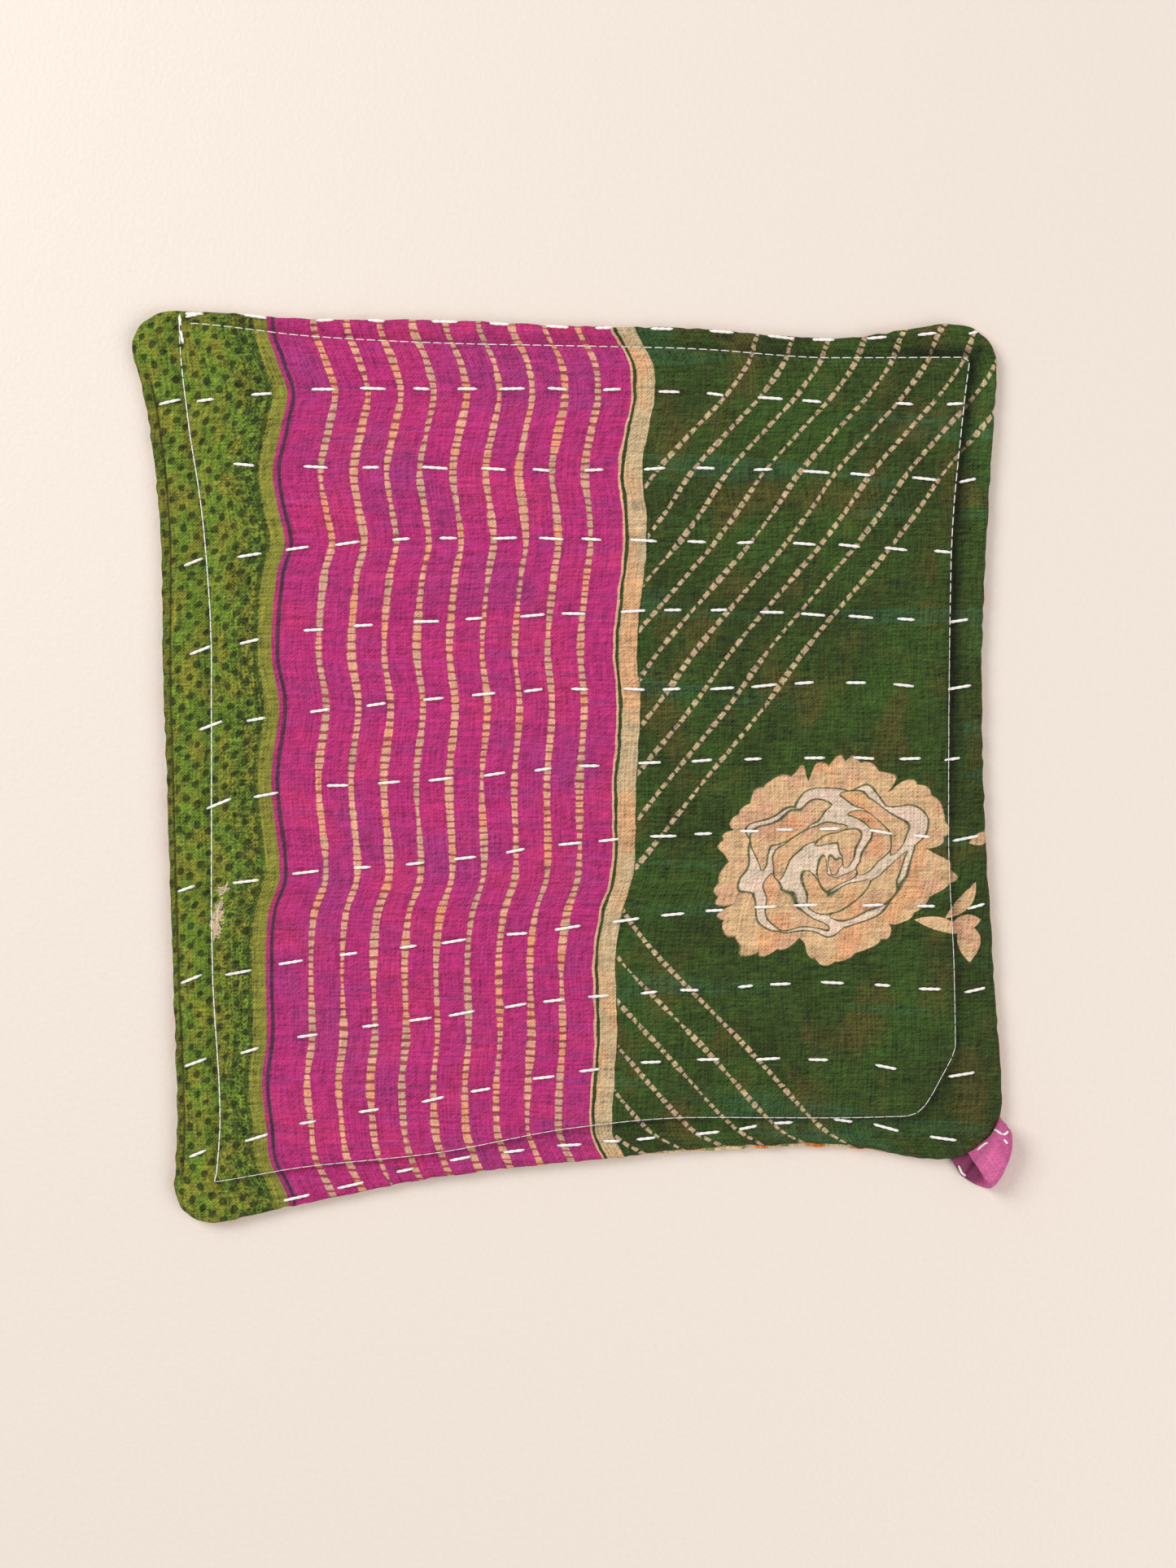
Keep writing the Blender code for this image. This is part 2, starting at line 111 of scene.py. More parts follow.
LEFT_TILT, RIGHT_TILT = 1.6, 1.1  # how much a stitch rises to the right, beside either seam
TILT_SPREAD = 0.4
RIM_ROOM = 0.35  # how far from the edge a row that runs along the rim stays
BACK_LONGEST = 14  # longest thread on the back
BACK_EDGE_ROOM = 3
# Extra stitches that fasten the seam's two ends at the upper left corner.
FASTENING = (((-95.3, 112), (-94.9, 108.3)), ((-94.9, 108.1), (-94.2, 104.2)),
             ((-94.2, 111.2), (-90.4, 111.9)))

# ---- heights (mm)

SEAM_Z = 2.2  # where the two cloths meet at the rim
SEAM_SPLIT = 0.01  # half the space between them
FRONT_FULL = 2.66  # from there to the crown of the front between two rows
FRONT_LEAST = 0.75  # the front never lies lower above it than this
BACK_FULL = 2.18  # from there to the underside that lies on the surface
RIM_RADIUS = 2.2
RIM_LIP = 0.3
RIM_STEPS = (2.4, 1.9, 1.45, 1.05, 0.7, 0.4, 0.18, 0.04, 0)  # distances of the rim's rings from the edge
SEAM_TUCK = 0.35  # how far the edge turns in where the two cloths meet
RIPPLE = 0.24  # how far the rim wavers between its small gathers, at most
RIPPLE_LENGTH = 2.1  # half a waver's length
# Lumps in the padding of the front: height, width and depth of each size of lump, and its seed.
WRINKLES = ((0.13, 9, 3.2, 21), (0.14, 24, 2.6, 22), (0.12, 17, 15, 23), (0.06, 3, 2.2, 24))

FRONT_PULL, BACK_PULL = 0.85, 0.95  # how far a hand stitch draws either cloth in
SEAM_PULL = 0.62  # the same for the machine seam
PULL_REACH_FRONT, PULL_REACH_BACK = 3.6, 3  # how far the padding lets a stitch's pull spread
PEEK_AT, PEEK_HALF, PEEK_DEPTH = 46, 32, 0.95  # where the backing shows below the lower rim
BORDER_DROP = 0.5  # how much lower the border lies outside the machine seam
DITCH_AT, DITCH_WIDTH = 0.9, 2.3  # how far outside the seam the border is lowest, and its ditch's width
DITCH_DEPTH, DITCH_DEPTH_RIGHT, DITCH_DEPTH_LOW = 0.85, 1.25, 0.6  # elsewhere, upper right, lower right
BEAD_AT = (-112, -35, 15, 80)  # the roll along the left edge: its width at these heights
BEAD_WIDTH = (1.9, 1.3, 1.7, 2.6)
BEAD_DEPTH = 1.5  # how deep the crease inside it is


# ---- curves

def unit(value):
    """A value kept between 0 and 1."""
    return np.clip(value, 0, 1)


def ease(share):
    """A share from 0 to 1 with level ends."""
    return share * share * (3 - 2 * share)


def smooth_curve(stations, values, at):
    """Smooth curve through values at rising stations, level where they turn and past the two ends."""
    x = np.asarray(stations, float)
    y = np.asarray(values, float)
    rise = np.diff(y)
    slope = np.zeros(len(x))
    slope[1:-1] = np.where(rise[1:] * rise[:-1] > 0, (y[2:] - y[:-2]) / (x[2:] - x[:-2]), 0)
    i = np.clip(np.searchsorted(x, at) - 1, 0, len(x) - 2)
    step = x[i + 1] - x[i]
    f = unit((at - x[i]) / step)
    return (y[i] * (1 - ease(f)) + slope[i] * step * f * (1 - f) ** 2
            + y[i + 1] * ease(f) - slope[i + 1] * step * f * f * (1 - f))


def side_x(line, y):
    return smooth_curve(SIDE_Y, line, y)


def edge_y(line, x):
    """Height of the top or bottom edge, level from where its corners begin."""
    left_radius, right_radius = CORNER_RADII[line]
    first = side_x(LEFT_EDGE, line[0]) + left_radius
    last = side_x(RIGHT_EDGE, line[-1]) - right_radius
    return smooth_curve(ROW_X, line, np.clip(x, first, last))


def edge_distance(x, y):
    """Distance from points of the pad to its outline."""
    sides = (x - side_x(LEFT_EDGE, y), side_x(RIGHT_EDGE, y) - x)
    levels = {TOP_EDGE: edge_y(TOP_EDGE, x) - y, BOTTOM_EDGE: y - edge_y(BOTTOM_EDGE, x)}
    nearest = np.minimum(np.minimum(*sides), np.minimum(*levels.values()))
    for line, along in levels.items():
        for across, radius in zip(sides, CORNER_RADII[line]):
            inside = (across < radius) & (along < radius)
            arc = radius - np.hypot(radius - across, radius - along)
            nearest = np.where(inside, np.minimum(nearest, arc), nearest)
    return np.maximum(nearest, 0)


def on_grid(grid, across, along, softly=False):
    """Value between the places of a grid, which repeats itself."""
    i, j = (np.floor(at).astype(int) for at in (across, along))
    f, g = across - i, along - j
    if softly:
        f, g = ease(f), ease(g)
    rows, columns = grid.shape
    low, high = (grid[row % rows, i % columns] * (1 - f) + grid[row % rows, (i + 1) % columns] * f
                 for row in (j, j + 1))
    return low * (1 - g) + high * g


def soft_noise(x, y, cell_x, cell_y, seed):
    """Smooth noise from -1 to 1 whose lumps are about cell_x by cell_y."""
    lattice = np.random.default_rng(seed).uniform(-1, 1, (128, 128))
    return on_grid(lattice, x / cell_x, y / cell_y, softly=True)


def resample(points, count):
    """count points evenly spaced along a line of points."""
    points = np.asarray(points, float)
    length = np.concatenate([[0], np.cumsum(np.hypot(*np.diff(points, axis=0).T))])
    at = np.linspace(0, length[-1], count)
    return np.stack([np.interp(at, length, part) for part in points.T], axis=1)


# ---- outline

def corner_arc(side, line):
    """Points of a rounded corner, from the side to the top or bottom edge."""
    leans, end = (1, 0) if side is LEFT_EDGE else (-1, -1)
    rises = 1 if line is TOP_EDGE else -1
    radius = CORNER_RADII[line][end]
    turn = np.linspace(0, math.pi / 2, 60)
    y = edge_y(line, side_x(side, line[end])) - rises * radius * (1 - np.sin(turn))
    return np.stack([side_x(side, y) + leans * radius * (1 - np.cos(turn)), y], axis=1)


def outline_sides(across, along):
    """The outline as its top, right, bottom and left side, once round, each evenly divided.

    The sides meet halfway round each rounded corner.
    """
    top_left, top_right, bottom_left, bottom_right = (
        corner_arc(side, line) for line in (TOP_EDGE, BOTTOM_EDGE) for side in (LEFT_EDGE, RIGHT_EDGE))
    half = len(top_left) // 2

    def level(first, last, line):
        x = np.linspace(first[-1, 0], last[-1, 0], 400)[1:-1]
        middle = np.stack([x, edge_y(line, x)], axis=1)
        return resample(np.concatenate([first[half:], middle, last[half:][::-1]]), across + 1)

    def upright(first, last, line):
        y = np.linspace(first[0, 1], last[0, 1], 400)[1:-1]
        middle = np.stack([side_x(line, y), y], axis=1)
        return resample(np.concatenate([first[:half + 1][::-1], middle, last[:half + 1]]), along + 1)

    return (level(top_left, top_right, TOP_EDGE), upright(top_right, bottom_right, RIGHT_EDGE),
            level(bottom_right, bottom_left, BOTTOM_EDGE), upright(bottom_left, top_left, LEFT_EDGE))


def inward(ring):
    """Unit normals that point into a closed ring of points that runs clockwise."""
    tangent = np.roll(ring, -2, axis=0) - np.roll(ring, 2, axis=0)
    tangent /= np.hypot(*tangent.T)[:, None]
    return np.stack([tangent[:, 1], -tangent[:, 0]], axis=1)


def fill_grid(ring, across, along):
    """Grid of points inside a ring of 2 * (across + along) points (a Coons patch)."""
    top = ring[:across + 1]
    right = ring[across:across + along + 1]
    bottom = ring[across + along:2 * across + along + 1][::-1]
    left = np.concatenate([ring[2 * across + along:], ring[:1]])[::-1]
    u = np.linspace(0, 1, across + 1)[None, :, None]
    v = np.linspace(0, 1, along + 1)[:, None, None]
    corners = ((1 - u) * (1 - v) * top[0] + u * (1 - v) * top[-1]
               + (1 - u) * v * bottom[0] + u * v * bottom[-1])
    return ((1 - v) * top[None] + v * bottom[None] + (1 - u) * left[:, None] + u * right[:, None]
            - corners)


# ---- stitches

def hand_stitches():
    """The stitches on the front and on the back, each as its (start, end) on the pad.

    On the back the thread shows where it is hidden on the front.
    """
    draw = np.random.default_rng(11)
    fronts = []
    backs = []
    for heights, starts in STITCH_ROWS:
        last_end = None
        for start, following in zip(starts, (*starts[1:], math.inf)):
            length = STITCH_LENGTH + draw.uniform(-STITCH_SPREAD, STITCH_SPREAD)
            height = float(smooth_curve(ROW_X, heights, start))
            last = min(side_x(RIGHT_EDGE, height) - STITCH_EDGE_ROOM, following - STITCH_GAP)
            ends = np.array([start, min(start + length, last)])
            while edge_distance(ends[1], smooth_curve(ROW_X, heights, ends[1])) < 0.2 < ends[1] - 90:
                ends[1] -= 0.2
            rise = np.clip(smooth_curve(ROW_X, heights, ends), edge_y(BOTTOM_EDGE, ends) + RIM_ROOM,
                           edge_y(TOP_EDGE, ends) - RIM_ROOM)
            tilt = 0
            if start < side_x(LEFT_SEAM, height) + 1:
                tilt = LEFT_TILT
            if start > side_x(RIGHT_SEAM, height) - 3:
                tilt = RIGHT_TILT
            rise = rise + np.array([-0.5, 0.5]) * (tilt + draw.uniform(-TILT_SPREAD, TILT_SPREAD))
            fronts.append(np.stack([ends, rise], axis=1))
            if last_end is not None and 0 < start - last_end[0] < BACK_LONGEST:
                backs.append(np.array([last_end + (0.5, 0), fronts[-1][0] - (0.5, 0)]))
            last_end = fronts[-1][1]
    fronts += [np.array(stitch) for stitch in FASTENING]
    return fronts, [stitch for stitch in backs if edge_distance(*stitch.T).min() > BACK_EDGE_ROOM]


def seam_path():
    """The machine seam, from its start at the top left once round to its end at the top edge."""
    top_x = np.linspace(-92.8, 98, 200)
    right_y = np.linspace(101, SEAM_CUT[0][1], 160)[1:-1]
    bottom_x = np.linspace(SEAM_CUT[-1][0], -87, 200)[1:]
    left_y = np.linspace(-99.5, 112.2, 220)
    return np.concatenate([
        np.stack([top_x, smooth_curve(ROW_X, TOP_SEAM, top_x)], axis=1),
        np.stack([side_x(RIGHT_SEAM, right_y), right_y], axis=1),
        SEAM_CUT,
        np.stack([bottom_x, smooth_curve(ROW_X, BOTTOM_SEAM, bottom_x)], axis=1),
        np.stack([side_x(LEFT_SEAM, left_y), left_y], axis=1)])


# ---- relief

RASTER_STEP = 0.5
RASTER_LOW = (-112, -118)
RASTER_SIZE = (450, 474)
STIFF_ALONG, STIFF_ACROSS = 1.25, 0.75  # how much the cloth evens out its height along and across rows
ROUNDS = 500


def on_raster(x, y):
    """Places of the pad counted in steps of the raster, inside it."""
    return [np.clip((at - low) / RASTER_STEP, 0, size - 1.001)
            for at, low, size in zip((x, y), RASTER_LOW, RASTER_SIZE)]


def pull_field(stitches, pull, reach):
    """How far sewing draws a padded cloth in, over a raster of the whole pad.

    The cloth between the hand stitches and the machine seam is a membrane on springy padding, solved by
    relaxation, so a pull spreads over about `reach` and adds to the next.
    """
    held = np.zeros(RASTER_SIZE[::-1], bool)
    depth = np.zeros(RASTER_SIZE[::-1])
    for points, sunk in (*((stitch, pull) for stitch in stitches), (SEAM_LINE, SEAM_PULL)):
        dense = resample(points, int(4 * len(points) + np.ptp(points[:, 0]) * 3))
        column, line = (np.round(at).astype(int) for at in on_raster(*dense.T))
        held[line, column] = True
        depth[line, column] = np.maximum(depth[line, column], sunk)
    wanted = depth[held]
    total = 2 * (STIFF_ALONG + STIFF_ACROSS) + (RASTER_STEP / reach) ** 2
    for _ in range(ROUNDS):
        depth[1:-1, 1:-1] = (STIFF_ALONG * (depth[1:-1, :-2] + depth[1:-1, 2:])
                             + STIFF_ACROSS * (depth[:-2, 1:-1] + depth[2:, 1:-1])) / total
        depth[held] = wanted
    return depth


FRONT_STITCHES, BACK_STITCHES = hand_stitches()
SEAM_LINE = seam_path()
front_field = pull_field(FRONT_STITCHES, FRONT_PULL, PULL_REACH_FRONT)
back_field = pull_field(BACK_STITCHES, BACK_PULL, PULL_REACH_BACK)


def rim_share(distance):
    """How much of its height the pad has at a distance from the edge."""
    rest = 1 - np.minimum(distance / RIM_RADIUS, 1)
    return np.sqrt(np.maximum(1 - rest * rest, 0))


def outside_seam(x, y):
    """How far outside the machine seam a place lies."""
    inside = np.minimum(np.minimum(x - side_x(LEFT_SEAM, y), side_x(RIGHT_SEAM, y) - x),
                        np.minimum(smooth_curve(ROW_X, TOP_SEAM, x) - y,
                                   y - smooth_curve(ROW_X, BOTTOM_SEAM, x)))
    (start_x, start_y), (stop_x, stop_y) = SEAM_CUT[0], SEAM_CUT[-1]
    past_cut = (x - start_x) * (start_y - stop_y) - (y - start_y) * (start_x - stop_x)
    past_cut = past_cut / math.hypot(start_x - stop_x, start_y - stop_y)
    return np.maximum(-inside, past_cut - SEAM_CUT_BULGE)


def border_drop(x, y):
    """How much lower the front lies outside the machine seam: a steep ditch and a thinner border."""
    right = unit((x - 84) / 8)
    upper = unit((y + 15) / 50)
    depth_right = DITCH_DEPTH_LOW + (DITCH_DEPTH_RIGHT - DITCH_DEPTH_LOW) * upper
    depth = DITCH_DEPTH + (depth_right - DITCH_DEPTH) * right
    outside = outside_seam(x, y)
    down = unit(outside / DITCH_AT)
    ditch = ease(down) * np.exp(-np.maximum(outside - DITCH_AT, 0) / DITCH_WIDTH)
    return depth * ditch + BORDER_DROP * down


def inside_bead(x, y):
    """How far inside the crease along the left edge's roll a place lies."""
    return x - side_x(LEFT_EDGE, y) - smooth_curve(BEAD_AT, BEAD_WIDTH, y)


def bead_crease(x, y):
    """The crease inside the roll along the left edge, 1 where it is deepest."""
    crease = np.exp(-(inside_bead(x, y) / 0.5) ** 2)
    return crease * unit((105 - y) / 12) * unit((y + 97) / 10)


def dip_shade(x, y):
    """Painted shade in the dips of the front under its stitches: how much it darkens the colour there."""
    return unit((on_grid(front_field, *on_raster(x, y)) - 0.4) / 0.45) * 0.4


def front_full(x, y):
    """Height of the front above the seam plane, away from the rim."""
    wrinkle = sum(high * soft_noise(x, y, wide, deep, seed) for high, wide, deep, seed in WRINKLES)
    drawn = on_grid(front_field, *on_raster(x, y))
    drawn = drawn + np.maximum(bead_crease(x, y) * BEAD_DEPTH, border_drop(x, y))
    return np.maximum(FRONT_FULL + wrinkle - drawn, FRONT_LEAST)


def back_full(x, y):
    """Depth of the back below the seam plane, away from the rim."""
    wrinkle = 0.05 * soft_noise(x, y, 11, 3, 31) - 0.05
    return BACK_FULL + np.minimum(wrinkle, 0) - on_grid(back_field, *on_raster(x, y))


def height_above(full, x, y, distance):
    return RIM_LIP + (full(x, y) - RIM_LIP) * rim_share(distance)


def peek(x, y):
    """How far the front is drawn up at the lower rim, so that the backing shows below it."""
    along = unit(1 - ((x - PEEK_AT) / PEEK_HALF) ** 2) ** 0.6
    ragged = 0.8 + 0.35 * soft_noise(x, x * 0, 6, 6, 51)
    near = unit(1 - (y - edge_y(BOTTOM_EDGE, x)) / 9)
    return PEEK_DEPTH * along * ragged * near


# ---- meshes

outline_top, outline_right, outline_bottom, outline_left = outline_sides(400, 400)
low_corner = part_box("front_panel")[0] * (1 / MM)
SHIFT = np.array([low_corner.x - outline_left[:, 0].min(), low_corner.y - outline_bottom[:, 1].min(), 0])


def to_world(points):
    """Points of the pad in the frame's metres."""
    return (np.asarray(points, float) + SHIFT) * MM


def link(name, data):
    thing = bpy.data.objects.new(name, data)
    bpy.context.scene.collection.objects.link(thing)
    return thing


def make_object(name, points, faces, material):
    """An object from points in mm and lists of corner indices, shaded smooth."""
    mesh = bpy.data.meshes.new(name)
    mesh.from_pydata(to_world(points).tolist(), [], faces)
    mesh.shade_smooth()
    mesh.set_sharp_from_angle(angle=math.radians(50))
    mesh.materials.append(material)
    return link(name, mesh)


def grid_faces(columns, rows):
    """Quads of a grid of columns by rows cells, as an array of corner indices."""
    corner = (np.arange(rows)[:, None] * (columns + 1) + np.arange(columns)[None, :]).ravel()
    return np.stack([corner, corner + columns + 1, corner + columns + 2, corner + 1], axis=1)


def border(columns, rows):
    """Corner indices once round the border of such a grid."""
    number = np.arange((rows + 1) * (columns + 1)).reshape(rows + 1, columns + 1)
    return np.concatenate([number[0, :-1], number[:-1, -1], number[-1, :0:-1], number[:0:-1, 0]])


def build_cloth(name, full, facing, across, along, material):
    """One cloth of the pad: its face, the turned rim and, at the seam plane, its hidden inner side.

    Comes with the place of each of its points on the cloth laid out flat.
    """
    ring = np.concatenate([side[:-1] for side in outline_sides(across, along)])
    waver = soft_noise(*ring.T, RIPPLE_LENGTH, RIPPLE_LENGTH, 61) * RIPPLE
    ring = ring + inward(ring) * waver[:, None]
    normal = inward(ring)
    inner = ring + normal * RIM_STEPS[0]
    grid = fill_grid(inner, across, along).reshape(-1, 2)
    distance = np.maximum(edge_distance(*grid.T), RIM_STEPS[0] * 0.98)
    height = height_above(full, *grid.T, distance)
    seam_plane = SEAM_Z + facing * SEAM_SPLIT

    points = [np.column_stack([grid, seam_plane + facing * height])]
    flat = [grid]
    faces = [grid_faces(across, along)]
    before = border(across, along)
    unrolled = 0
    last_depth, last_height = RIM_STEPS[0], float(np.mean(height))
    for step in (*RIM_STEPS[1:], SEAM_TUCK):
        rise = height_above(full, *inner.T, step)
        if step == SEAM_TUCK:
            rise = rise * 0
        unrolled += math.hypot(last_depth - step, float(np.mean(rise)) - last_height)
        last_depth, last_height = step, float(np.mean(rise))
        here = np.arange(len(ring)) + sum(map(len, points))
        points.append(np.column_stack([ring + normal * step, seam_plane + facing * rise]))
        flat.append(inner - normal * unrolled)
        faces.append(np.stack([before, np.roll(before, -1), np.roll(here, -1), here], axis=1))
        before = here
    points = np.concatenate(points)
    faces = np.concatenate(faces)
    if facing > 0:
        points[:, 1] += peek(points[:, 0], points[:, 1])
    else:
        faces = faces[:, ::-1]
        before = before[::-1]
    piece = make_object(name, points, faces.tolist() + [before.tolist()], material)
    return piece, np.concatenate(flat)


def keep_places(piece, flat):
    """Store the flat place of each point as a UV map for baking, the hidden inner side apart."""
    low, high = flat.min(axis=0), flat.max(axis=0)
    room = float((high - low).max()) / 0.95
    corner = np.zeros(len(piece.data.loops), int)
    piece.data.loops.foreach_get("vertex_index", corner)
    uv = (flat[corner] - low) / room
    hidden = piece.data.polygons[-1]
    span = slice(hidden.loop_start, hidden.loop_start + hidden.loop_total)
    uv[span] = 0.96 + 0.035 * uv[span]
    piece.data.uv_layers.new(name="OFBake").data.foreach_set("uv", uv.ravel())


def keep_numbers(piece, name, *numbers):
    """Store three numbers for each point of a piece, which its material reads."""
    store = piece.data.attributes.new(name, "FLOAT_VECTOR", "POINT")
    store.data.foreach_set("vector", np.column_stack(numbers).ravel())


# ---- threads

UP = np.array([0, 0, 1])


def tube(path, radii, sides, height=1):
    """Points and faces of a tube along a path, closed at both ends; height below 1 flattens it."""
    tangent = np.gradient(path, axis=0)
    tangent /= np.linalg.norm(tangent, axis=1)[:, None]
    side = np.cross(tangent, UP)
    side /= np.maximum(np.linalg.norm(side, axis=1), 1e-9)[:, None]
    up = np.cross(side, tangent)
    angle = (np.arange(sides) * 2 * math.pi / sides)[None, :, None]
    ring = np.cos(angle) * side[:, None] + np.sin(angle) * up[:, None] * height
    points = (path[:, None] + ring * np.asarray(radii)[:, None, None]).reshape(-1, 3)
    faces = []
    for start in range(0, len(points) - sides, sides):
        for c in range(sides):
            after = (c + 1) % sides
            faces.append([start + c, start + after, start + sides + after, start + sides + c])
    faces.append(list(range(sides))[::-1])
    faces.append(list(range(len(points) - sides, len(points))))
    return points, faces


def sewn(name, tubes, material):
    """One object from many tubes."""
    points = []
    faces = []
    start = 0
    for tube_points, tube_faces in tubes:
        points.append(tube_points)
        faces += [[start + corner for corner in face] for face in tube_faces]
        start += len(tube_points)
    return make_object(name, np.concatenate(points), faces, material)


THREAD_RADIUS = 0.285  # one of the two plies of the hand-sewing thread
PLY_RADIUS = 0.1  # how far each ply's middle is from the thread's
PLY_TURN = 3.4  # length of one turn of the twist
THREAD_HEIGHT = 0.72  # how high a ply is against its width
THREAD_TAPER = 1.1  # length over which a stitch thins and dives into the cloth at either end
THREAD_DIVE = 0.7
THREAD_RINGS, THREAD_SIDES = 15, 7


def twisted_thread(line, lay, dive, draw):
    """Two plies wound round a short line of points, `lay` above it, that dive by `dive` at both ends."""
    share = np.linspace(0, 1, len(line))
    length = float(np.linalg.norm(line[-1] - line[0]))
    end = unit(1 - np.minimum(share, 1 - share) * length / THREAD_TAPER)
    line = line + UP * (lay * (1 - 1.6 * end ** 2) - dive * end ** 2)[:, None]
    along = (line[-1] - line[0]) / length
    side = np.array([-along[1], along[0], 0])
    turn = draw.uniform(0, 2 * math.pi) + share * length / PLY_TURN * 2 * math.pi
    thin = 1 - 0.55 * end
    plies = []
    for ply in (0, math.pi):
        off = np.cos(turn + ply)[:, None] * side + np.sin(turn + ply)[:, None] * UP * 0.6
        plies.append(tube(line + off * (PLY_RADIUS * thin)[:, None], THREAD_RADIUS * thin, THREAD_SIDES,
                          THREAD_HEIGHT))
    return plies


def surface_height(full, facing, points):
    """Height of a cloth's face at points of the pad."""
    x, y = points.T
    return SEAM_Z + facing * (SEAM_SPLIT + height_above(full, x, y, edge_distance(x, y)))


def build_hand_stitches(name, stitches, full, facing, material):
    draw = np.random.default_rng(5 if facing > 0 else 6)
    tubes = []
    for stitch in stitches:
        line = resample(stitch, THREAD_RINGS)
        height = surface_height(full, facing, line)
        height = height * 0.5 + float(np.median(height[3:-3])) * 0.5
        on_rim = 1 - rim_share(float(np.median(edge_distance(*line.T))))
        lay = facing * (THREAD_RADIUS + 0.16 - 0.5 * on_rim)
        tubes += twisted_thread(np.column_stack([line, height]), lay, facing * THREAD_DIVE, draw)
    return sewn(name, tubes, material)


MACHINE_STITCH = 2.7  # length of one machine stitch
MACHINE_THREAD = 0.125  # radius of its thread
TIGHT_SUNK, LOOSE_SUNK = 0.015, 0.11  # share of a stitch sunk in the cloth at either end
TIGHT_THREAD = 0.72  # how thick the seam shows at the bottom and low on the right, against the rest
PROUD_THREAD = 1.3  # the same on the left, where the thread stands proud
MACHINE_RINGS = MACHINE_SIDES = 5


def build_machine_seam(name, full, facing, material):
    draw = np.random.default_rng(8)
    count = int(np.hypot(*np.diff(SEAM_LINE, axis=0).T).sum() / MACHINE_STITCH)
    knots = resample(SEAM_LINE, count + 1)
    tubes = []
    share = np.linspace(0, 1, MACHINE_RINGS)
    arch = 4 * share * (1 - share)
    for start, stop in zip(knots, knots[1:]):
        loose = start[1] > 95 or (start[0] > 88 and start[1] > 35)
        left = start[0] < -84
        room = (LOOSE_SUNK if loose else TIGHT_SUNK) + draw.uniform(0, 0.035)
        proud = PROUD_THREAD if left and start[1] < 100 else 1
        thick = MACHINE_THREAD * (proud if loose or left else TIGHT_THREAD)
        line = start + (stop - start) * (room + (1 - 2 * room) * share)[:, None]
        rise = surface_height(full, facing, line) + facing * (MACHINE_THREAD * (1.9 * arch - 0.6))
        tubes.append(tube(np.column_stack([line, rise]), thick * (0.8 + 0.2 * arch), MACHINE_SIDES))
    return sewn(name, tubes, material)


# ---- hanging loop

LOOP_ROOT = (98, -93.9, 0)
LOOP_WIDTH, LOOP_THICKNESS = 12.1, 1
LOOP_LENGTH = 62  # about how long its run is
LOOP_CLEAR_OF_RIM = 1.4
LOOP_LANES_AT = (0, 0.18, 0.5, 0.7, 0.86, 0.96, 1)
LOOP_REACH = (0.86, 0.93, 0.86, 0.76, 0.6, 0.4, 0.24)  # how far out the fold comes there, as a share
# Stations along the strip's run: how far out of the rim and how high it is, and how far it has slid.
LOOP_OUT = (-7, -2, 1.4, 2.5, 4.6, 8.4, 10, 10.1, 9.1, 6.4, 3.1, 1.7, -1, -7)
LOOP_UP = (2.3, 2.6, 2.85, 5.4, 6.5, 6.5, 5.1, 2.2, 0.65, 0.55, 0.6, 1.5, 1.65, 1.8)
LOOP_SLIDE = (0, 0, 0, 0, 0, 0, -0.3, -0.8, -1.6, -3, -4.2, -4.6, -4.6, -4.6)
LOOP_ROWS, LOOP_LANES = 170, 44
# Stitches on the strip: the face each lies on, -1 for the outer and 1 for the inner one, and its places
# along the strip's run and across it, both 0 to 1.
LOOP_STITCHES = (
    (-1, ((0.165, 0.76), (0.29, 0.83))),
    (-1, ((0.29, 0.83), (0.345, 0.965))),
    (-1, ((0.32, 0.79), (0.36, 0.81))),
    (-1, ((0.14, 0.2), (0.21, 0.5))),
    (1, ((0.915, 0.07), (0.86, 0.04), (0.79, 0.07))),
)
LOOP_THREAD = 0.3
LOOP_SHADE = 1.45  # painted shade: how much it darkens the strip where the fold lies over it


def plane_direction(degrees):
    angle = math.radians(degrees)
    return np.array([math.cos(angle), math.sin(angle), 0])


OUTWARDS, ACROSS_LOOP = plane_direction(-58), plane_direction(52)


def loop_points(run, lanes):
    """Middle of the strip's thickness at places along its run (0 to 1) and across it (0 to 1)."""
    knots = np.arange(len(LOOP_OUT))
    at = run * (len(LOOP_OUT) - 1)
    out, up, slide = (smooth_curve(knots, line, at) for line in (LOOP_OUT, LOOP_UP, LOOP_SLIDE))
    reach = smooth_curve(LOOP_LANES_AT, LOOP_REACH, lanes)
    out = out - np.maximum(out - LOOP_CLEAR_OF_RIM, 0) * (1 - reach)
    return (np.array(LOOP_ROOT) + OUTWARDS * out[..., None]
            + ACROSS_LOOP * (lanes * LOOP_WIDTH + slide)[..., None] + UP * up[..., None])


def loop_frame(run, lanes):
    """Middle point and unit normal of the strip."""
    step = 0.002
    along = loop_points(unit(run + step), lanes) - loop_points(unit(run - step), lanes)
    across = loop_points(run, unit(lanes + step)) - loop_points(run, unit(lanes - step))
    normal = np.cross(across, along)
    return loop_points(run, lanes), normal / np.linalg.norm(normal, axis=-1)[..., None]


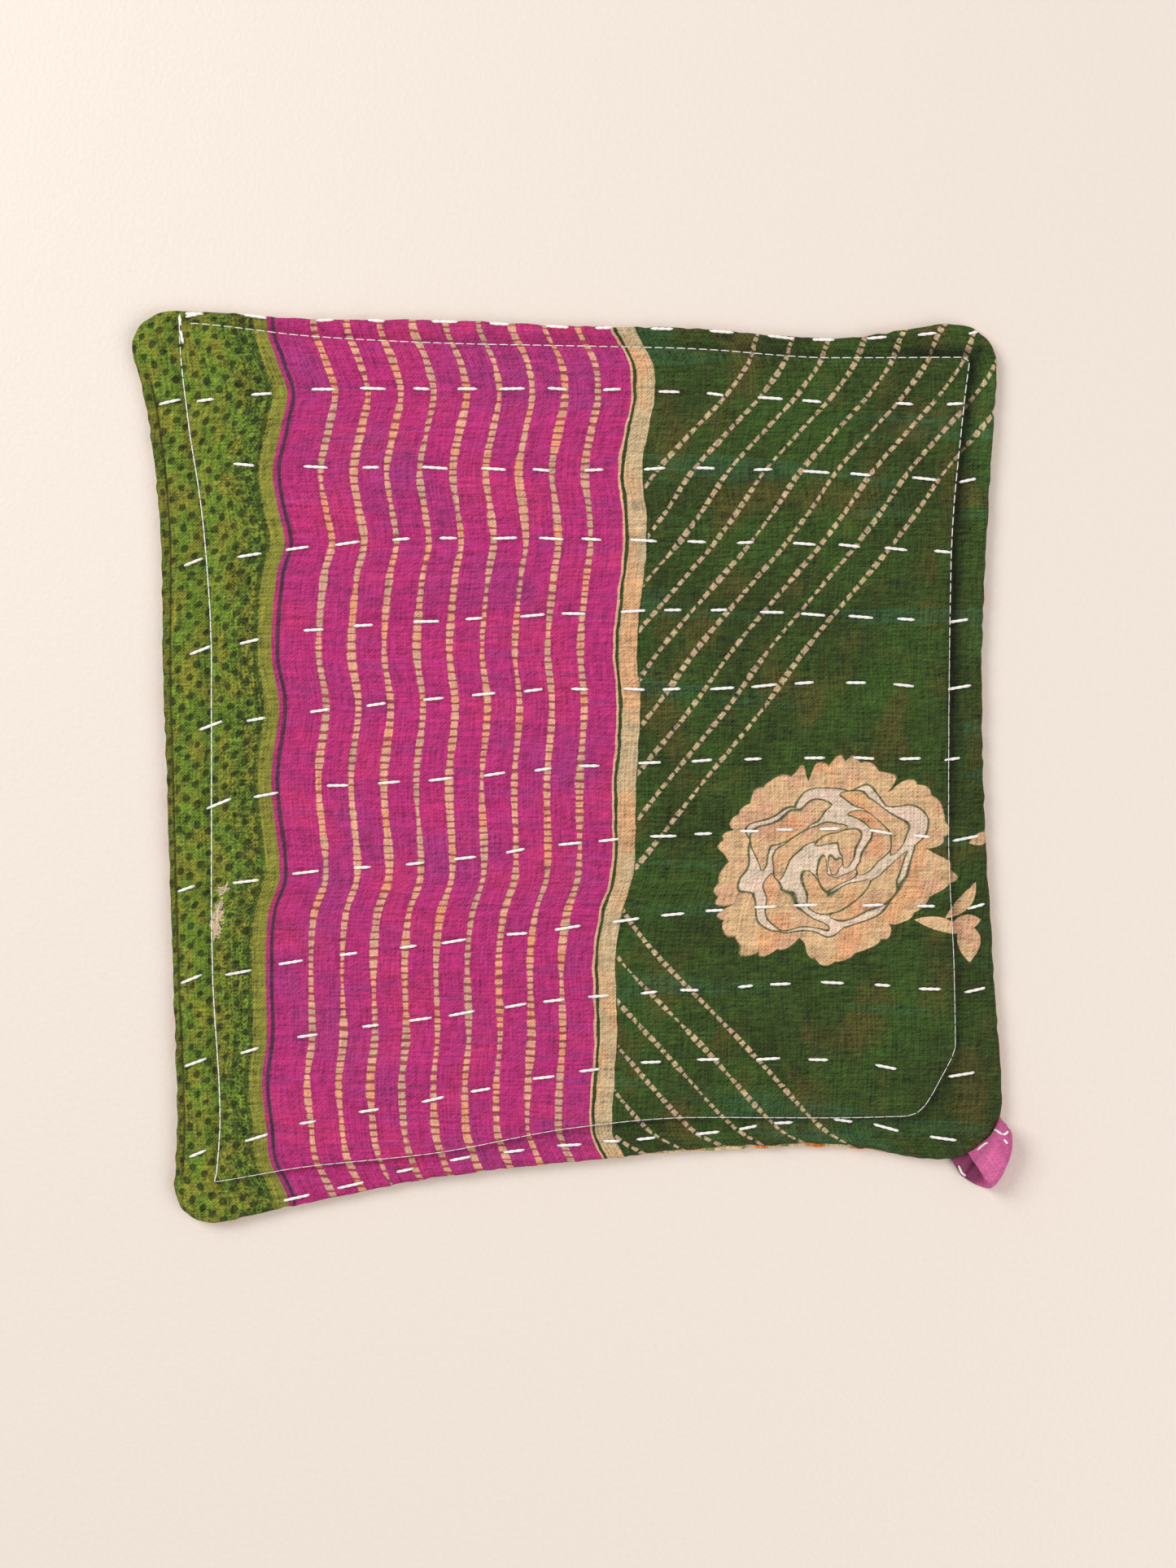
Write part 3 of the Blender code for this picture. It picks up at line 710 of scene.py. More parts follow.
def build_loop(material):
    """The folded strip: soft rounded selvedges, and creases along its fold."""
    run = np.linspace(0, 1, LOOP_ROWS)[:, None] + np.zeros(LOOP_LANES)[None]
    lanes = 0.5 + 0.5 * np.sin(np.linspace(-1, 1, LOOP_LANES) * math.pi / 2) + run * 0
    middle, normal = loop_frame(run, lanes)
    edge = np.minimum(lanes, 1 - lanes) * LOOP_WIDTH
    round_off = np.sqrt(unit(1 - (1 - np.minimum(edge / 0.5, 1)) ** 2))
    half = LOOP_THICKNESS / 2 * (0.12 + 0.88 * round_off)
    wave = (0.08 * soft_noise(run * LOOP_LENGTH, lanes * 12, 5, 2.4, 41)
            + 0.05 * soft_noise(run * LOOP_LENGTH, lanes * 12, 1.9, 1.5, 42))
    wave = wave * unit((middle[..., 2] - 0.9) / 0.6)
    faces = grid_faces(LOOP_LANES - 1, LOOP_ROWS - 1)
    ring = border(LOOP_LANES - 1, LOOP_ROWS - 1)
    after = np.roll(ring, -1)
    size = LOOP_ROWS * LOOP_LANES
    wall = np.stack([ring, after, after + size, ring + size], axis=1)
    points = np.concatenate([(middle + normal * (wave + off)[..., None]).reshape(-1, 3)
                             for off in (half, -half)])
    points[:, 2] = np.maximum(points[:, 2], 0.03)
    piece = make_object("corner_loop", points,
                        np.concatenate([faces[:, ::-1], faces + size, wall]).tolist(), material)
    line = loop_points(run[:, 0], np.full(LOOP_ROWS, 0.4))
    length = np.concatenate([[0], np.cumsum(np.linalg.norm(np.diff(line, axis=0), axis=1))])
    # Painted shade on the strip where the fold lies over it, kept as the cloth's third number.
    fold_shade = unit((run - 0.62) / 0.08) * LOOP_SHADE
    numbers = (lanes * LOOP_WIDTH, length[:, None] + lanes * 0, fold_shade)
    keep_numbers(piece, "cloth", *(np.tile(part.ravel(), 2) for part in numbers))
    return piece


def build_loop_stitches(material):
    tubes = []
    share = np.linspace(0, 1, THREAD_RINGS)
    end = unit(1 - np.minimum(share, 1 - share) / 0.22)
    lift = LOOP_THICKNESS / 2 + LOOP_THREAD * 0.6 - 0.5 * end ** 2
    for face, places in LOOP_STITCHES:
        middle, normal = loop_frame(*resample(places, THREAD_RINGS).T)
        tubes.append(tube(middle + normal * (face * lift)[:, None], LOOP_THREAD * (1 - 0.5 * end),
                          THREAD_SIDES))
    return sewn("hand_stitches_loop", tubes, material)


# ---- nodes

def dye(red, green, blue):
    """A colour as it looks on screen, 0 to 255, as the linear colour that a shader takes."""
    screen = (value / 255 for value in (red, green, blue))
    return (*(part / 12.92 if part <= 0.04045 else ((part + 0.055) / 1.055) ** 2.4 for part in screen), 1)


def plug(value, socket):
    """Give an input a fixed value, or link a Field to it."""
    if isinstance(value, Field):
        socket.id_data.links.new(value.socket, socket)
    else:
        socket.default_value = value


def add_node(kind, inputs, output=0, tree=None, **settings):
    """The output of a new node, as a Field; inputs gives values or Fields by number or name."""
    if tree is None:
        tree = next(value.socket.id_data for value in inputs.values() if isinstance(value, Field))
    node = tree.nodes.new("ShaderNode" + kind)
    for name, value in settings.items():
        setattr(node, name, value)
    for place, value in inputs.items():
        plug(value, node.inputs[place])
    return Field(node.outputs[output])


class Field:
    """A number, vector or colour that varies over a surface. Arithmetic adds Math nodes to its tree."""

    def __init__(self, socket):
        self.socket = socket

    def math(self, operation, *others):
        return add_node("Math", dict(enumerate((self, *others))), operation=operation)

    def __add__(self, other):
        return self.math("ADD", other)

    def __sub__(self, other):
        return self.math("SUBTRACT", other)

    def __mul__(self, other):
        return self.math("MULTIPLY", other)

    def __truediv__(self, other):
        return self.math("DIVIDE", other)

    def __abs__(self):
        return self.math("ABSOLUTE")


def ramp(field, low, high):
    """0 up to low and 1 from high on, smooth in between; low above high turns it round."""
    return add_node("MapRange", {"Value": field, "From Min": low, "From Max": high}, "Result",
                    interpolation_type="SMOOTHSTEP")


def within(field, half, soft):
    """1 where a number is less than half from 0, with edges as soft as given."""
    return ramp(abs(field), half + soft, half - soft)


def between(field, low, high, soft):
    return within(field - (low + high) / 2, (high - low) / 2, soft)


def mix(factor, first, second):
    return add_node("Mix", {0: factor, 6: first, 7: second}, 2, data_type="RGBA")


def shade(colour, amount):
    """A colour made lighter or darker by a field around 1."""
    return add_node("VectorMath", {0: colour, "Scale": amount}, operation="SCALE")


def stretched(place, cell, offset=(0, 0)):
    """Places counted in cells of the given width and height."""
    return add_node("VectorMath", {0: place, 1: (1 / cell[0], 1 / cell[1], 1), 2: (*offset, 0)},
                    operation="MULTIPLY_ADD")


def turned(place, degrees):
    inputs = {"Vector": place, "Angle": math.radians(degrees)}
    return add_node("VectorRotate", inputs, rotation_type="Z_AXIS")


def seen_from(place, middle, degrees, size=(1, 1)):
    """Places as seen from a turned middle, counted in sizes."""
    turn = (0, 0, math.radians(degrees))
    return add_node("Mapping", {"Vector": place, "Location": (*middle, 0), "Rotation": turn,
                                "Scale": (*size, 1)}, vector_type="TEXTURE")


def noise(place, cell, detail=2, offset=(0, 0), warp=0, output=0):
    """Noise around 0.5 with lumps of about the given width and height."""
    inputs = {"Vector": stretched(place, cell, offset), "Scale": 1, "Detail": detail, "Distortion": warp}
    return add_node("TexNoise", inputs, output, noise_dimensions="2D")


def blotch(place, colour, other, cell, detail, offset, low, high, share=1):
    """A colour through which another shows by up to share, where a noise rises from low to high."""
    return mix(ramp(noise(place, cell, detail, offset), low, high) * share, colour, other)


def bend(place, cell, reach, detail=2):
    """Places pushed about by up to half of reach, in lumps of the given width and height."""
    push = noise(place, cell, detail, (1, 2), output="Color")
    push = add_node("VectorMath", {0: push, 1: (0.5, 0.5, 0.5)}, operation="SUBTRACT")
    return add_node("VectorMath", {0: push, 1: (reach, reach, 0), 2: place}, operation="MULTIPLY_ADD")


def spots(place, cell, radius, soft, scatter, offset=(0, 0)):
    """Round spots on a scattered lattice: 1 in a spot, 0 outside."""
    inputs = {"Vector": stretched(place, cell, offset), "Scale": 1, "Randomness": scatter}
    return ramp(add_node("TexVoronoi", inputs, "Distance", voronoi_dimensions="2D"), radius + soft,
                radius - soft)


def parts_of(place):
    """The three numbers of a vector."""
    first = add_node("SeparateXYZ", {0: place})
    return [Field(socket) for socket in first.socket.node.outputs]


# ---- materials

WEAVE_PITCH = 0.42  # from one yarn to the next
BUMP_DISTANCE = 0.00016  # metres from the lowest to the highest of the woven relief


def new_material(name, roughness, sheen=0, specular=0.5):
    """A material and its shader."""
    material = bpy.data.materials.new(name)
    material.use_nodes = True
    shader = material.node_tree.nodes["Principled BSDF"]
    shader.inputs["Roughness"].default_value = roughness
    shader.inputs["Sheen Weight"].default_value = sheen
    shader.inputs["Specular IOR Level"].default_value = specular
    return material, shader


def stored(shader, name):
    """The numbers that keep_numbers stored under a name."""
    return add_node("Attribute", {}, "Vector", shader.id_data, attribute_name=name)


def object_place(shader):
    """The place on the object, in mm."""
    return stretched(add_node("TexCoord", {}, "Object", shader.id_data), (MM, MM))


def finish_look(shader, colour, tone, relief, distance=BUMP_DISTANCE):
    """Give a shader its colour, lighter and darker by tone, and its relief."""
    plug(shade(colour, tone), shader.inputs["Base Color"])
    bump = add_node("Bump", {"Strength": 1, "Distance": distance, "Height": relief})
    plug(bump, shader.inputs["Normal"])


def woven(cloth, contrast=1):
    """How light the cloth is at each place, around 1, and the height of its yarns and creases.

    Yarns cross at WEAVE_PITCH with holes between them. Thick and thin yarns make streaks both ways, the
    twist of the yarn a slanting grain, and old folds thin creases darkened by painted shade. The
    cloth's third number is painted shade as well, which darkens the colour.
    """
    u, v, painted_shade = parts_of(cloth)
    across = (u * (math.pi / WEAVE_PITCH)).math("SINE")
    along = (v * (math.pi / WEAVE_PITCH)).math("SINE")
    yarns = across * along * 0.5 + 0.5
    holes = ramp(abs(across) + abs(along), 0.8, 0.1)
    weft = noise(cloth, (7, 0.5), 1, (0, 7))
    warp = noise(cloth, (0.5, 7), 1, (1, 4))
    slant = noise(turned(cloth, -36), (2.6, 0.46), 1, (6, 0))
    grain = noise(cloth, (0.42, 0.42), 1, (3, 3))
    slub = noise(cloth, (0.85, 0.6), 1, (2, 8))
    band = noise(cloth, (60, 2.4), 1, (0, 9))
    fold = noise(cloth, (34, 5), 1, (5, 1))
    where = noise(cloth, (16, 12), 0, (8, 6))
    crease = within(fold - 0.5, 0.002, 0.026) * ramp(where, 0.48, 0.62)
    tone = ((weft - 0.5) * 0.65 + (warp - 0.5) * 0.65 + (slant - 0.5) * 0.6 + (grain - 0.5) * 0.4
            + (slub - 0.5) * 0.25 + (yarns - 0.5) * 0.28 - holes * 0.2 + 0.02) * contrast
    # Painted shade: the third number darkens the front's dips and the strip under the loop's fold, and
    # creases darken the colour too.
    shade_factor = painted_shade * -0.42 + 1
    tone = (tone + (band - 0.5) * 0.3 - crease * 0.12 + 1) * shade_factor
    return tone, yarns * 0.7 + (weft + warp) * 0.5 + slant * 0.45 + grain * 0.5 - crease * 0.7


# Colours of the print.
MAGENTA = dye(182, 47, 117)
PURPLE = dye(150, 58, 126)
RED_PINK = dye(200, 56, 106)
CREAM = dye(224, 173, 141)
BAND_CREAM = dye(200, 176, 138)
ORANGE = dye(230, 156, 104)
GREY_CREAM = dye(198, 168, 142)
STRIPE_LINE = dye(156, 62, 78)
DARK_GREEN = dye(50, 64, 26)
MID_GREEN = dye(57, 83, 31)
BROWN_GREEN = dye(86, 78, 36)
BLUE_GREEN = dye(56, 92, 58)
BATIK_GREEN = dye(104, 133, 42)
BATIK_OLIVE = dye(130, 132, 44)
BATIK_DARK = dye(58, 76, 28)
BATIK_PALE = dye(150, 160, 64)
DOT_GREEN = dye(36, 48, 20)
OLIVE_BAND = dye(134, 134, 54)
DARK_LINE = dye(52, 50, 62)
LEAF_LINE = dye(52, 70, 36)
PETAL = dye(216, 180, 137)
PETAL_PINK = dye(214, 168, 134)
PETAL_PALE = dye(230, 203, 182)
PETAL_BLUE = dye(222, 202, 178)
OUTLINE = dye(62, 82, 48)
# Colour of the painted shade on the left roll and in its crease.
CREASE_SHADE = dye(64, 54, 20)
BARE = dye(214, 190, 160)

# Places of the print across the cloth (mm).
OLIVE_FROM, OLIVE_TO = -74.7, -71.2
DARK_LINE_AT, DARK_LINE_HALF = -69.7, 0.5
FIRST_STRIPE, STRIPE_PITCH, STRIPES = -59.6, 8.02, 9
BLOCK_PITCH = 1.95
EDGING_FROM, EDGING_LINE, BAND_FROM, BAND_TO = 12.6, 13.2, 14, 18.4

# A family of broken diagonal lines: where its first one meets the band, how many there are, how far
# apart they meet it, how steeply they climb to the right, and how far it is from dash to dash.
Diagonals = namedtuple("Diagonals", "start count apart climb pitch")
RISING = Diagonals(start=68.6, count=9, apart=11.6, climb=1.32, pitch=2.37)
FALLING = Diagonals(start=-33.9, count=6, apart=11, climb=-1.07, pitch=2.02)

# Lens shapes: the middle, turn, half length, half width and bow of each.
Lens = namedtuple("Lens", "x y turn length half bow")
# Places where the dye is worn off beside the left seam.
BARE_PLACES = (Lens(-84.2, -28.8, 70, 1.7, 1.4, 0), Lens(-84.3, -36.4, 87, 5.6, 1.5, 0))
# Leaves at the right-hand edge.
LEAVES = (
    Lens(95.2, -37.4, -16, 6.6, 1.6, -0.015),
    Lens(99.9, -32.2, 58, 5.2, 1.8, 0.05),
    Lens(102.4, -41.4, -74, 5.2, 2.7, -0.04),
    Lens(101, -37.2, 15, 3.8, 2.1, 0),
    Lens(102.6, -16.4, 20, 3.4, 1.5, 0),
)


def inside_lens(cloth, lens):
    """How far inside a bowed lens shape a place lies, less than 0 outside."""
    along, across, _ = parts_of(seen_from(cloth, (lens.x, lens.y), lens.turn))
    squared = along * along
    return squared * (-lens.half / lens.length ** 2) + lens.half - abs(across - squared * lens.bow)


def paint_batik(cloth):
    """Mottled green dye with rows of dark dots, ragged and darker towards the olive band."""
    u, _, _ = parts_of(cloth)
    colour = blotch(cloth, BATIK_GREEN, BATIK_OLIVE, (5, 9), 3, (0, 0), 0.4, 0.64)
    towards_band = ramp(u, -88, -77)
    dark = noise(cloth, (2.2, 4.6), 4, (5.2, 1.7)) + towards_band * 0.1
    colour = mix(ramp(dark, 0.54, 0.72) * 0.6, colour, BATIK_DARK)
    dry = noise(cloth, (0.7, 0.5), 2, (4, 2))
    colour = mix(ramp(dry, 0.54, 0.68) * 0.5, colour, BATIK_PALE)
    speck = spots(turned(cloth, 31), (0.9, 1), 0.34, 0.12, 0.9)
    colour = mix(speck * (towards_band * 0.5 + 0.18), colour, DOT_GREEN)
    size = noise(cloth, (9, 14), 1, (6, 6)) * 0.14 + 0.185
    dots = spots(turned(bend(cloth, (1.8, 2), 1), -52), (3.9, 3), size, 0.06, 0.14)
    colour = mix(dots * 0.8, colour, DOT_GREEN)
    ragged = noise(cloth, (1.2, 1.6), 3, (9, 4)) - 0.5
    for at, half, soft, share in ((-75.5, 0.4, 0.35, 0.8), (-79.4, 0.3, 0.4, 0.5)):
        colour = mix(within(u - at + ragged * 1.6, half, soft) * share, colour, BATIK_DARK)
    for worn in BARE_PLACES:
        edge = inside_lens(cloth, worn) + ragged * 3.4 + (dry - 0.5) * 2
        colour = mix(ramp(edge, 0, 0.3) * 0.85, colour, BARE)
    return colour


def paint_magenta(cloth):
    colour = blotch(cloth, MAGENTA, PURPLE, (22, 24), 2, (3.1, 8.4), 0.44, 0.74, 0.5)
    colour = blotch(cloth, colour, RED_PINK, (17, 15), 2, (7.7, 2.2), 0.46, 0.74, 0.45)
    colour = blotch(cloth, colour, PURPLE, (26, 2.6), 1, (6.2, 0.3), 0.6, 0.74, 0.35)
    ghost = noise(cloth, (11, 11), 1, (1.3, 6.1), warp=1.2)
    return mix(within(ghost - 0.5, 0.012, 0.01) * 0.22, colour, PURPLE)


def paint_green(cloth):
    patch = noise(cloth, (20, 24), 2, (4.4, 0.9))
    yarns = noise(cloth, (3, 0.6), 1, (7, 7))
    colour = mix(ramp(patch * 0.55 + yarns * 0.45, 0.38, 0.64), DARK_GREEN, MID_GREEN)
    brown = noise(cloth, (13, 17), 2.5, (2.5, 5.5)) + yarns * 0.15
    colour = mix(ramp(brown, 0.56, 0.82) * 0.65, colour, BROWN_GREEN)
    return blotch(cloth, colour, BLUE_GREEN, (60, 9), 2, (0.4, 3.3), 0.56, 0.7, 0.5)


def paint_stripes(cloth, ground):
    """Cream stripes broken into blocks by thin brown lines."""
    u, v, _ = parts_of(cloth)
    count = (u - FIRST_STRIPE) / STRIPE_PITCH
    number = count.math("ROUND")
    off = (count - number) * STRIPE_PITCH
    shown = between(number, -0.5, STRIPES - 0.5, 0.1)
    own = add_node("CombineXYZ", {0: number * 2.7, 1: v})
    width = noise(own, (1, 19), 1) * 1.2 + noise(own, (1, 4), 0, (3, 1)) * 0.4
    ragged = (noise(cloth, (0.6, 0.9), 2, (3, 3)) - 0.5) * 0.45
    jitter = noise(own, (1, 1.7), 0, (8, 2)) * 0.35 + noise(own, (1, 13), 0) * 2
    tilt = noise(cloth, (4, 3), 0, (5, 8)) * 0.25
    lift = (number * 0.37).math("FRACT")
    block = (v / BLOCK_PITCH + lift + jitter + tilt).math("FRACT") - 0.5
    pinch = ramp(abs(block), 0.24, 0.06) * -0.16 + 1
    stripe = ramp(abs(off) - width * pinch + ragged, 0.17, -0.17) * shown
    cream = blotch(cloth, CREAM, ORANGE, (9, 8), 2, (6, 1), 0.47, 0.64, 0.65)
    cream = blotch(cloth, cream, GREY_CREAM, (14, 19), 1, (2, 9), 0.5, 0.64, 0.75)
    gap = within(block, noise(cloth, (22, 26), 0, (4, 7)) * 0.2 + 0.045, 0.055)
    return mix(stripe, ground, mix(gap * 0.9, cream, STRIPE_LINE))


def paint_band(cloth, ground):
    """The cream band with its dark green line and thin cream edging."""
    u, _, _ = parts_of(cloth)
    u = u + (noise(cloth, (3, 5), 2, (5, 5)) - 0.5) * 0.9
    cream = blotch(cloth, BAND_CREAM, ORANGE, (12, 18), 2, (1, 2), 0.44, 0.66, 0.45)
    colour = mix(between(u, EDGING_FROM, EDGING_LINE + 0.2, 0.1), ground, CREAM)
    colour = mix(between(u, EDGING_LINE, BAND_FROM + 0.1, 0.1), colour, LEAF_LINE)
    return mix(between(u, BAND_FROM, BAND_TO, 0.12), colour, cream)


def paint_diagonals(cloth, ground, lines):
    """A family of diagonal lines made of small cream dashes, right of the band."""
    u, v, _ = parts_of(cloth)
    steep = math.atan(lines.climb)
    count = ((u - BAND_TO) * lines.climb - v + lines.start) / lines.apart
    number = count.math("ROUND")
    off = (count - number) * (lines.apart * math.cos(steep))
    shown = ramp(u, BAND_TO + 0.2, BAND_TO + 0.5) * between(number, -0.5, lines.count - 0.5, 0.1)
    swell = noise(cloth, (9, 9), 1, (lines.climb, 4)) * 0.8 + 0.12
    edge = (noise(cloth, (0.5, 0.5), 1, (2, 7)) - 0.5) * 0.35
    along = (u * math.cos(steep) + v * math.sin(steep)) / lines.pitch
    along = along + number * 0.31 + (noise(cloth, (2.6, 2.6), 1, (1, 1)) - 0.5) * 0.6
    dash = within(along.math("FRACT") - 0.5, 0.34, 0.08)
    line = ramp(abs(off) - swell + edge, 0.12, -0.12) * dash * shown
    cream = blotch(cloth, GREY_CREAM, BAND_CREAM, (8, 8), 2, (9, 9), 0.4, 0.6)
    return mix(line * 0.93, ground, cream)


# The rose: its middle on the cloth, its half width and half height, and how far it is turned. Scalloped
# outer petals lie round a pale heart, and in that are rings of smaller petals drawn in outline. Each of
# those is a crescent along its ring, and winds inwards by `spiral` from one end to the other.
ROSE_AT, ROSE_SIZE, ROSE_TURN = (66.8, -21.6), (29.5, 25), 14
OUTER_PETALS = 7
HEART_RADIUS, BUD_RADIUS = 0.68, 0.085
PetalRing = namedtuple("PetalRing", "count radius spiral half start")
PETAL_RINGS = (
    PetalRing(count=4, radius=0.57, spiral=0.13, half=0.095, start=0.1),
    PetalRing(count=3, radius=0.375, spiral=0.14, half=0.092, start=0.45),
    PetalRing(count=2, radius=0.2, spiral=0.12, half=0.076, start=0.2),
)


def draw_shape(colour, inside, fill, soft, half):
    """Fill a shape, where inside is more than 0, and draw its dark outline."""
    colour = mix(ramp(inside, -soft, soft), colour, fill)
    return mix(within(inside, half, 0.006) * 0.9, colour, OUTLINE)


def paint_rose(cloth, ground):
    place = seen_from(cloth, ROSE_AT, ROSE_TURN, ROSE_SIZE)
    x, y, _ = parts_of(bend(place, (0.36, 0.36), 0.27, 0.4))
    radius = (x * x + y * y).math("SQRT")
    angle = y.math("ARCTAN2", x)
    lobe = abs((angle * (OUTER_PETALS / 2) + 0.6).math("SINE"))
    scallop = abs((angle * (OUTER_PETALS * 2.5)).math("SINE"))
    edge = lobe.math("POWER", 0.4) * 0.17 + scallop * 0.04 + 0.79
    petal = blotch(cloth, PETAL, PETAL_PINK, (9, 8), 2, (4, 6), 0.44, 0.66)
    petal = blotch(cloth, petal, ORANGE, (10, 14), 1, (7, 3), 0.52, 0.7, 0.45)
    colour = mix(ramp(radius - edge, 0.01, -0.01), ground, petal)
    heart = abs((angle * 4.5 + 0.5).math("SINE")) * 0.06 + (angle * 2 + 1).math("SINE") * 0.03
    pale = blotch(cloth, PETAL_PALE, PETAL_BLUE, (11, 9), 1, (2, 7), 0.44, 0.6)
    colour = draw_shape(colour, heart - radius + HEART_RADIUS, pale, 0.01, 0.0095)
    for ring in PETAL_RINGS:
        share = (angle * (ring.count / (2 * math.pi)) + ring.start).math("FRACT")
        swell = (share * (share * -1 + 1) * 4).math("POWER", 0.55)
        lobes = abs((share * (3 * math.pi)).math("SINE")) * 0.22 + 0.82
        shape = swell * lobes * ring.half - abs(radius - ring.radius - (share - 0.5) * ring.spiral)
        colour = draw_shape(colour, shape, petal, 0.006, 0.0085)
    bud = (angle * 3 + 1).math("SINE") * 0.022 - radius + BUD_RADIUS
    return draw_shape(colour, bud, petal, 0.006, 0.0085)


def paint_leaves(cloth, ground):
    petal = blotch(cloth, PETAL, PETAL_PINK, (9, 8), 2, (4, 1), 0.44, 0.62)
    colour = ground
    for leaf in LEAVES:
        colour = mix(ramp(inside_lens(cloth, leaf), -0.12, 0.12), colour, petal)
    return colour


def shade_seams(u, v, seams, colour):
    """Painted shade in the ditch outside the machine seam, most on the upper right, painted light on the
    outer right border, slightly darker low down, and painted shade on the left roll and in its crease.
    """
    outside, inside, _ = parts_of(seams)
    right = ramp(u, 78, 88)
    upper = ramp(v, -15, 35)
    # Painted shade in the ditch, and painted light on the outer part of the right border.
    ditch_shade = ramp(outside, -0.1, 0.5) * ramp(outside, 4.2, 0.6) * (right * (upper * 0.4 + 0.16) + 0.14)
    border_light_and_shade = ramp(outside, 3.2, 6) * right * (upper * 0.2 - 0.06)
    colour = shade(colour, border_light_and_shade - ditch_shade + 1)
    left = ramp(u, -60, -70) * ramp(v, 104, 92) * ramp(v, -104, -96)
    # Painted shade on the left roll, and darker painted shade in its crease.
    colour = mix(ramp(inside, 0.1, -0.3) * left * 0.35, colour, CREASE_SHADE)
    return mix(within(inside, 0.3, 0.3) * left * 0.95, colour, CREASE_SHADE)


def front_material():
    material, shader = new_material("printed_cotton_look", 0.86, 0.06, 0.25)
    cloth = stored(shader, "cloth")
    u, v, _ = parts_of(cloth)
    left = mix(between(u, OLIVE_FROM, OLIVE_TO, 0.25), paint_batik(cloth), OLIVE_BAND)
    rough_edge = (noise(cloth, (0.8, 1), 2, (1, 9)) - 0.5) * 0.8
    colour = mix(ramp(u + rough_edge, OLIVE_TO - 0.15, OLIVE_TO + 0.15), left, paint_magenta(cloth))
    line = within(u + rough_edge * 0.4 - DARK_LINE_AT, DARK_LINE_HALF, 0.2)
    colour = mix(line * 0.88, colour, DARK_LINE)
    colour = paint_stripes(cloth, colour)
    colour = mix(ramp(u, BAND_TO - 0.6, BAND_TO - 0.5), colour, paint_green(cloth))
    for lines in (RISING, FALLING):
        colour = paint_diagonals(cloth, colour, lines)
    for paint in (paint_rose, paint_leaves, paint_band):
        colour = paint(cloth, colour)
    # Painted shade along the seam's ditch and the left roll's crease, and painted light on the right border.
    colour = shade_seams(u, v, stored(shader, "seams"), colour)
    light = add_node("RGBToBW", {0: colour})
    contrast = ramp(u, OLIVE_TO, OLIVE_FROM) * 0.6 + ramp(u, BAND_FROM - 1, BAND_FROM) * 0.4 + 1.45
    finish_look(shader, colour, *woven(cloth, contrast - light * 1.3))
    plug(noise(cloth, (6, 6), 2) * 0.2 + 0.76, shader.inputs["Roughness"])
    return material


def back_material():
    """Pale backing cloth with small scattered sprigs of orange and green."""
    material, shader = new_material("backing_cotton_look", 0.86, 0.08, 0.25)
    cloth = stored(shader, "cloth")
    colour = blotch(cloth, dye(226, 200, 160), dye(216, 180, 138), (25, 20), 2, (0, 0), 0.42, 0.64)
    vine = noise(cloth, (17, 17), 1, (3, 3), warp=0.8)
    colour = mix(within(vine - 0.5, 0.014, 0.01) * 0.8, colour, dye(104, 120, 58))
    leaves = spots(turned(cloth, 40), (9, 4.6), 0.2, 0.03, 0.7, (0.5, 0.2))
    colour = mix(leaves * 0.8, colour, dye(112, 132, 60))
    for radius, share, tint in ((0.2, 0.9, dye(228, 128, 52)), (0.085, 1, dye(176, 60, 44))):
        colour = mix(spots(cloth, (14, 13), radius, 0.02, 0.75, (0.3, 0.8)) * share, colour, tint)
    finish_look(shader, colour, *woven(cloth))
    return material


def loop_material():
    material, shader = new_material("loop_cotton_look", 0.85, 0.15, 0.25)
    cloth = stored(shader, "cloth")
    colour = blotch(cloth, dye(214, 104, 160), dye(198, 92, 148), (7, 9), 2, (0, 0), 0.4, 0.62)
    finish_look(shader, colour, *woven(cloth, 0.6))
    return material


def thread_material():
    """White cotton thread: fine fibres along it, slightly stained here and there."""
    material, shader = new_material("white_thread", 0.7, 0.2)
    place = object_place(shader)
    tint = blotch(place, dye(254, 253, 250), dye(222, 214, 200), (9, 9), 2, (0, 0), 0.54, 0.74, 0.25)
    fibre = noise(place, (0.5, 0.12))
    finish_look(shader, tint, (fibre - 0.5) * 0.16 + 0.99, fibre, 0.00006)
    return material


# ---- the cloth's sway

# How the rows of stitches pull the print sideways: where the dark line and the cream band's right-hand
# edge lie at these heights on the pad.
SWAY_Y = (-106, -95, -87, -76, -64, -48, -35, -25, -2, 16, 29.5, 48, 56, 64, 73,
          83.5, 92.2, 100, 110)
SWAY_LINE = (-67, -71.6, -72.6, -73.8, -72.4, -72.8, -72, -69, -71.2, -69.2, -71.2, -69.8, -67.8,
             -69.4, -70.8, -68.8, -67.2, -69.6, -72.6)
SWAY_BAND = (17, 13.6, 10, 10.8, 11.4, 11, 12.6, 15.6, 16.4, 17.4, 16.6, 18.2, 19, 18.8, 17.8,
             19.4, 21, 20.4, 16)


def cloth_u(x, y):
    """Where on the unpulled cloth a point of the pad lies, across."""
    at_line = smooth_curve(SWAY_Y, SWAY_LINE, y) - DARK_LINE_AT
    at_band = smooth_curve(SWAY_Y, SWAY_BAND, y) - BAND_TO
    share = unit((x - DARK_LINE_AT) / (BAND_TO - DARK_LINE_AT))
    fade_left = 1 - 0.6 * unit((DARK_LINE_AT - x) / 30)
    fade_right = 1 - 0.35 * unit((x - BAND_TO) / 80)
    return x - (at_line * (1 - share) + at_band * share) * fade_left * fade_right


# ---- build

white_thread = thread_material()

front_cloth, front_flat = build_cloth("front_cloth", front_full, 1, 288, 298, front_material())
keep_places(front_cloth, front_flat)
flat_x, flat_y = front_flat.T
# The third number is painted shade for the dips under the stitches.
keep_numbers(front_cloth, "cloth", cloth_u(flat_x, flat_y), flat_y, dip_shade(flat_x, flat_y))
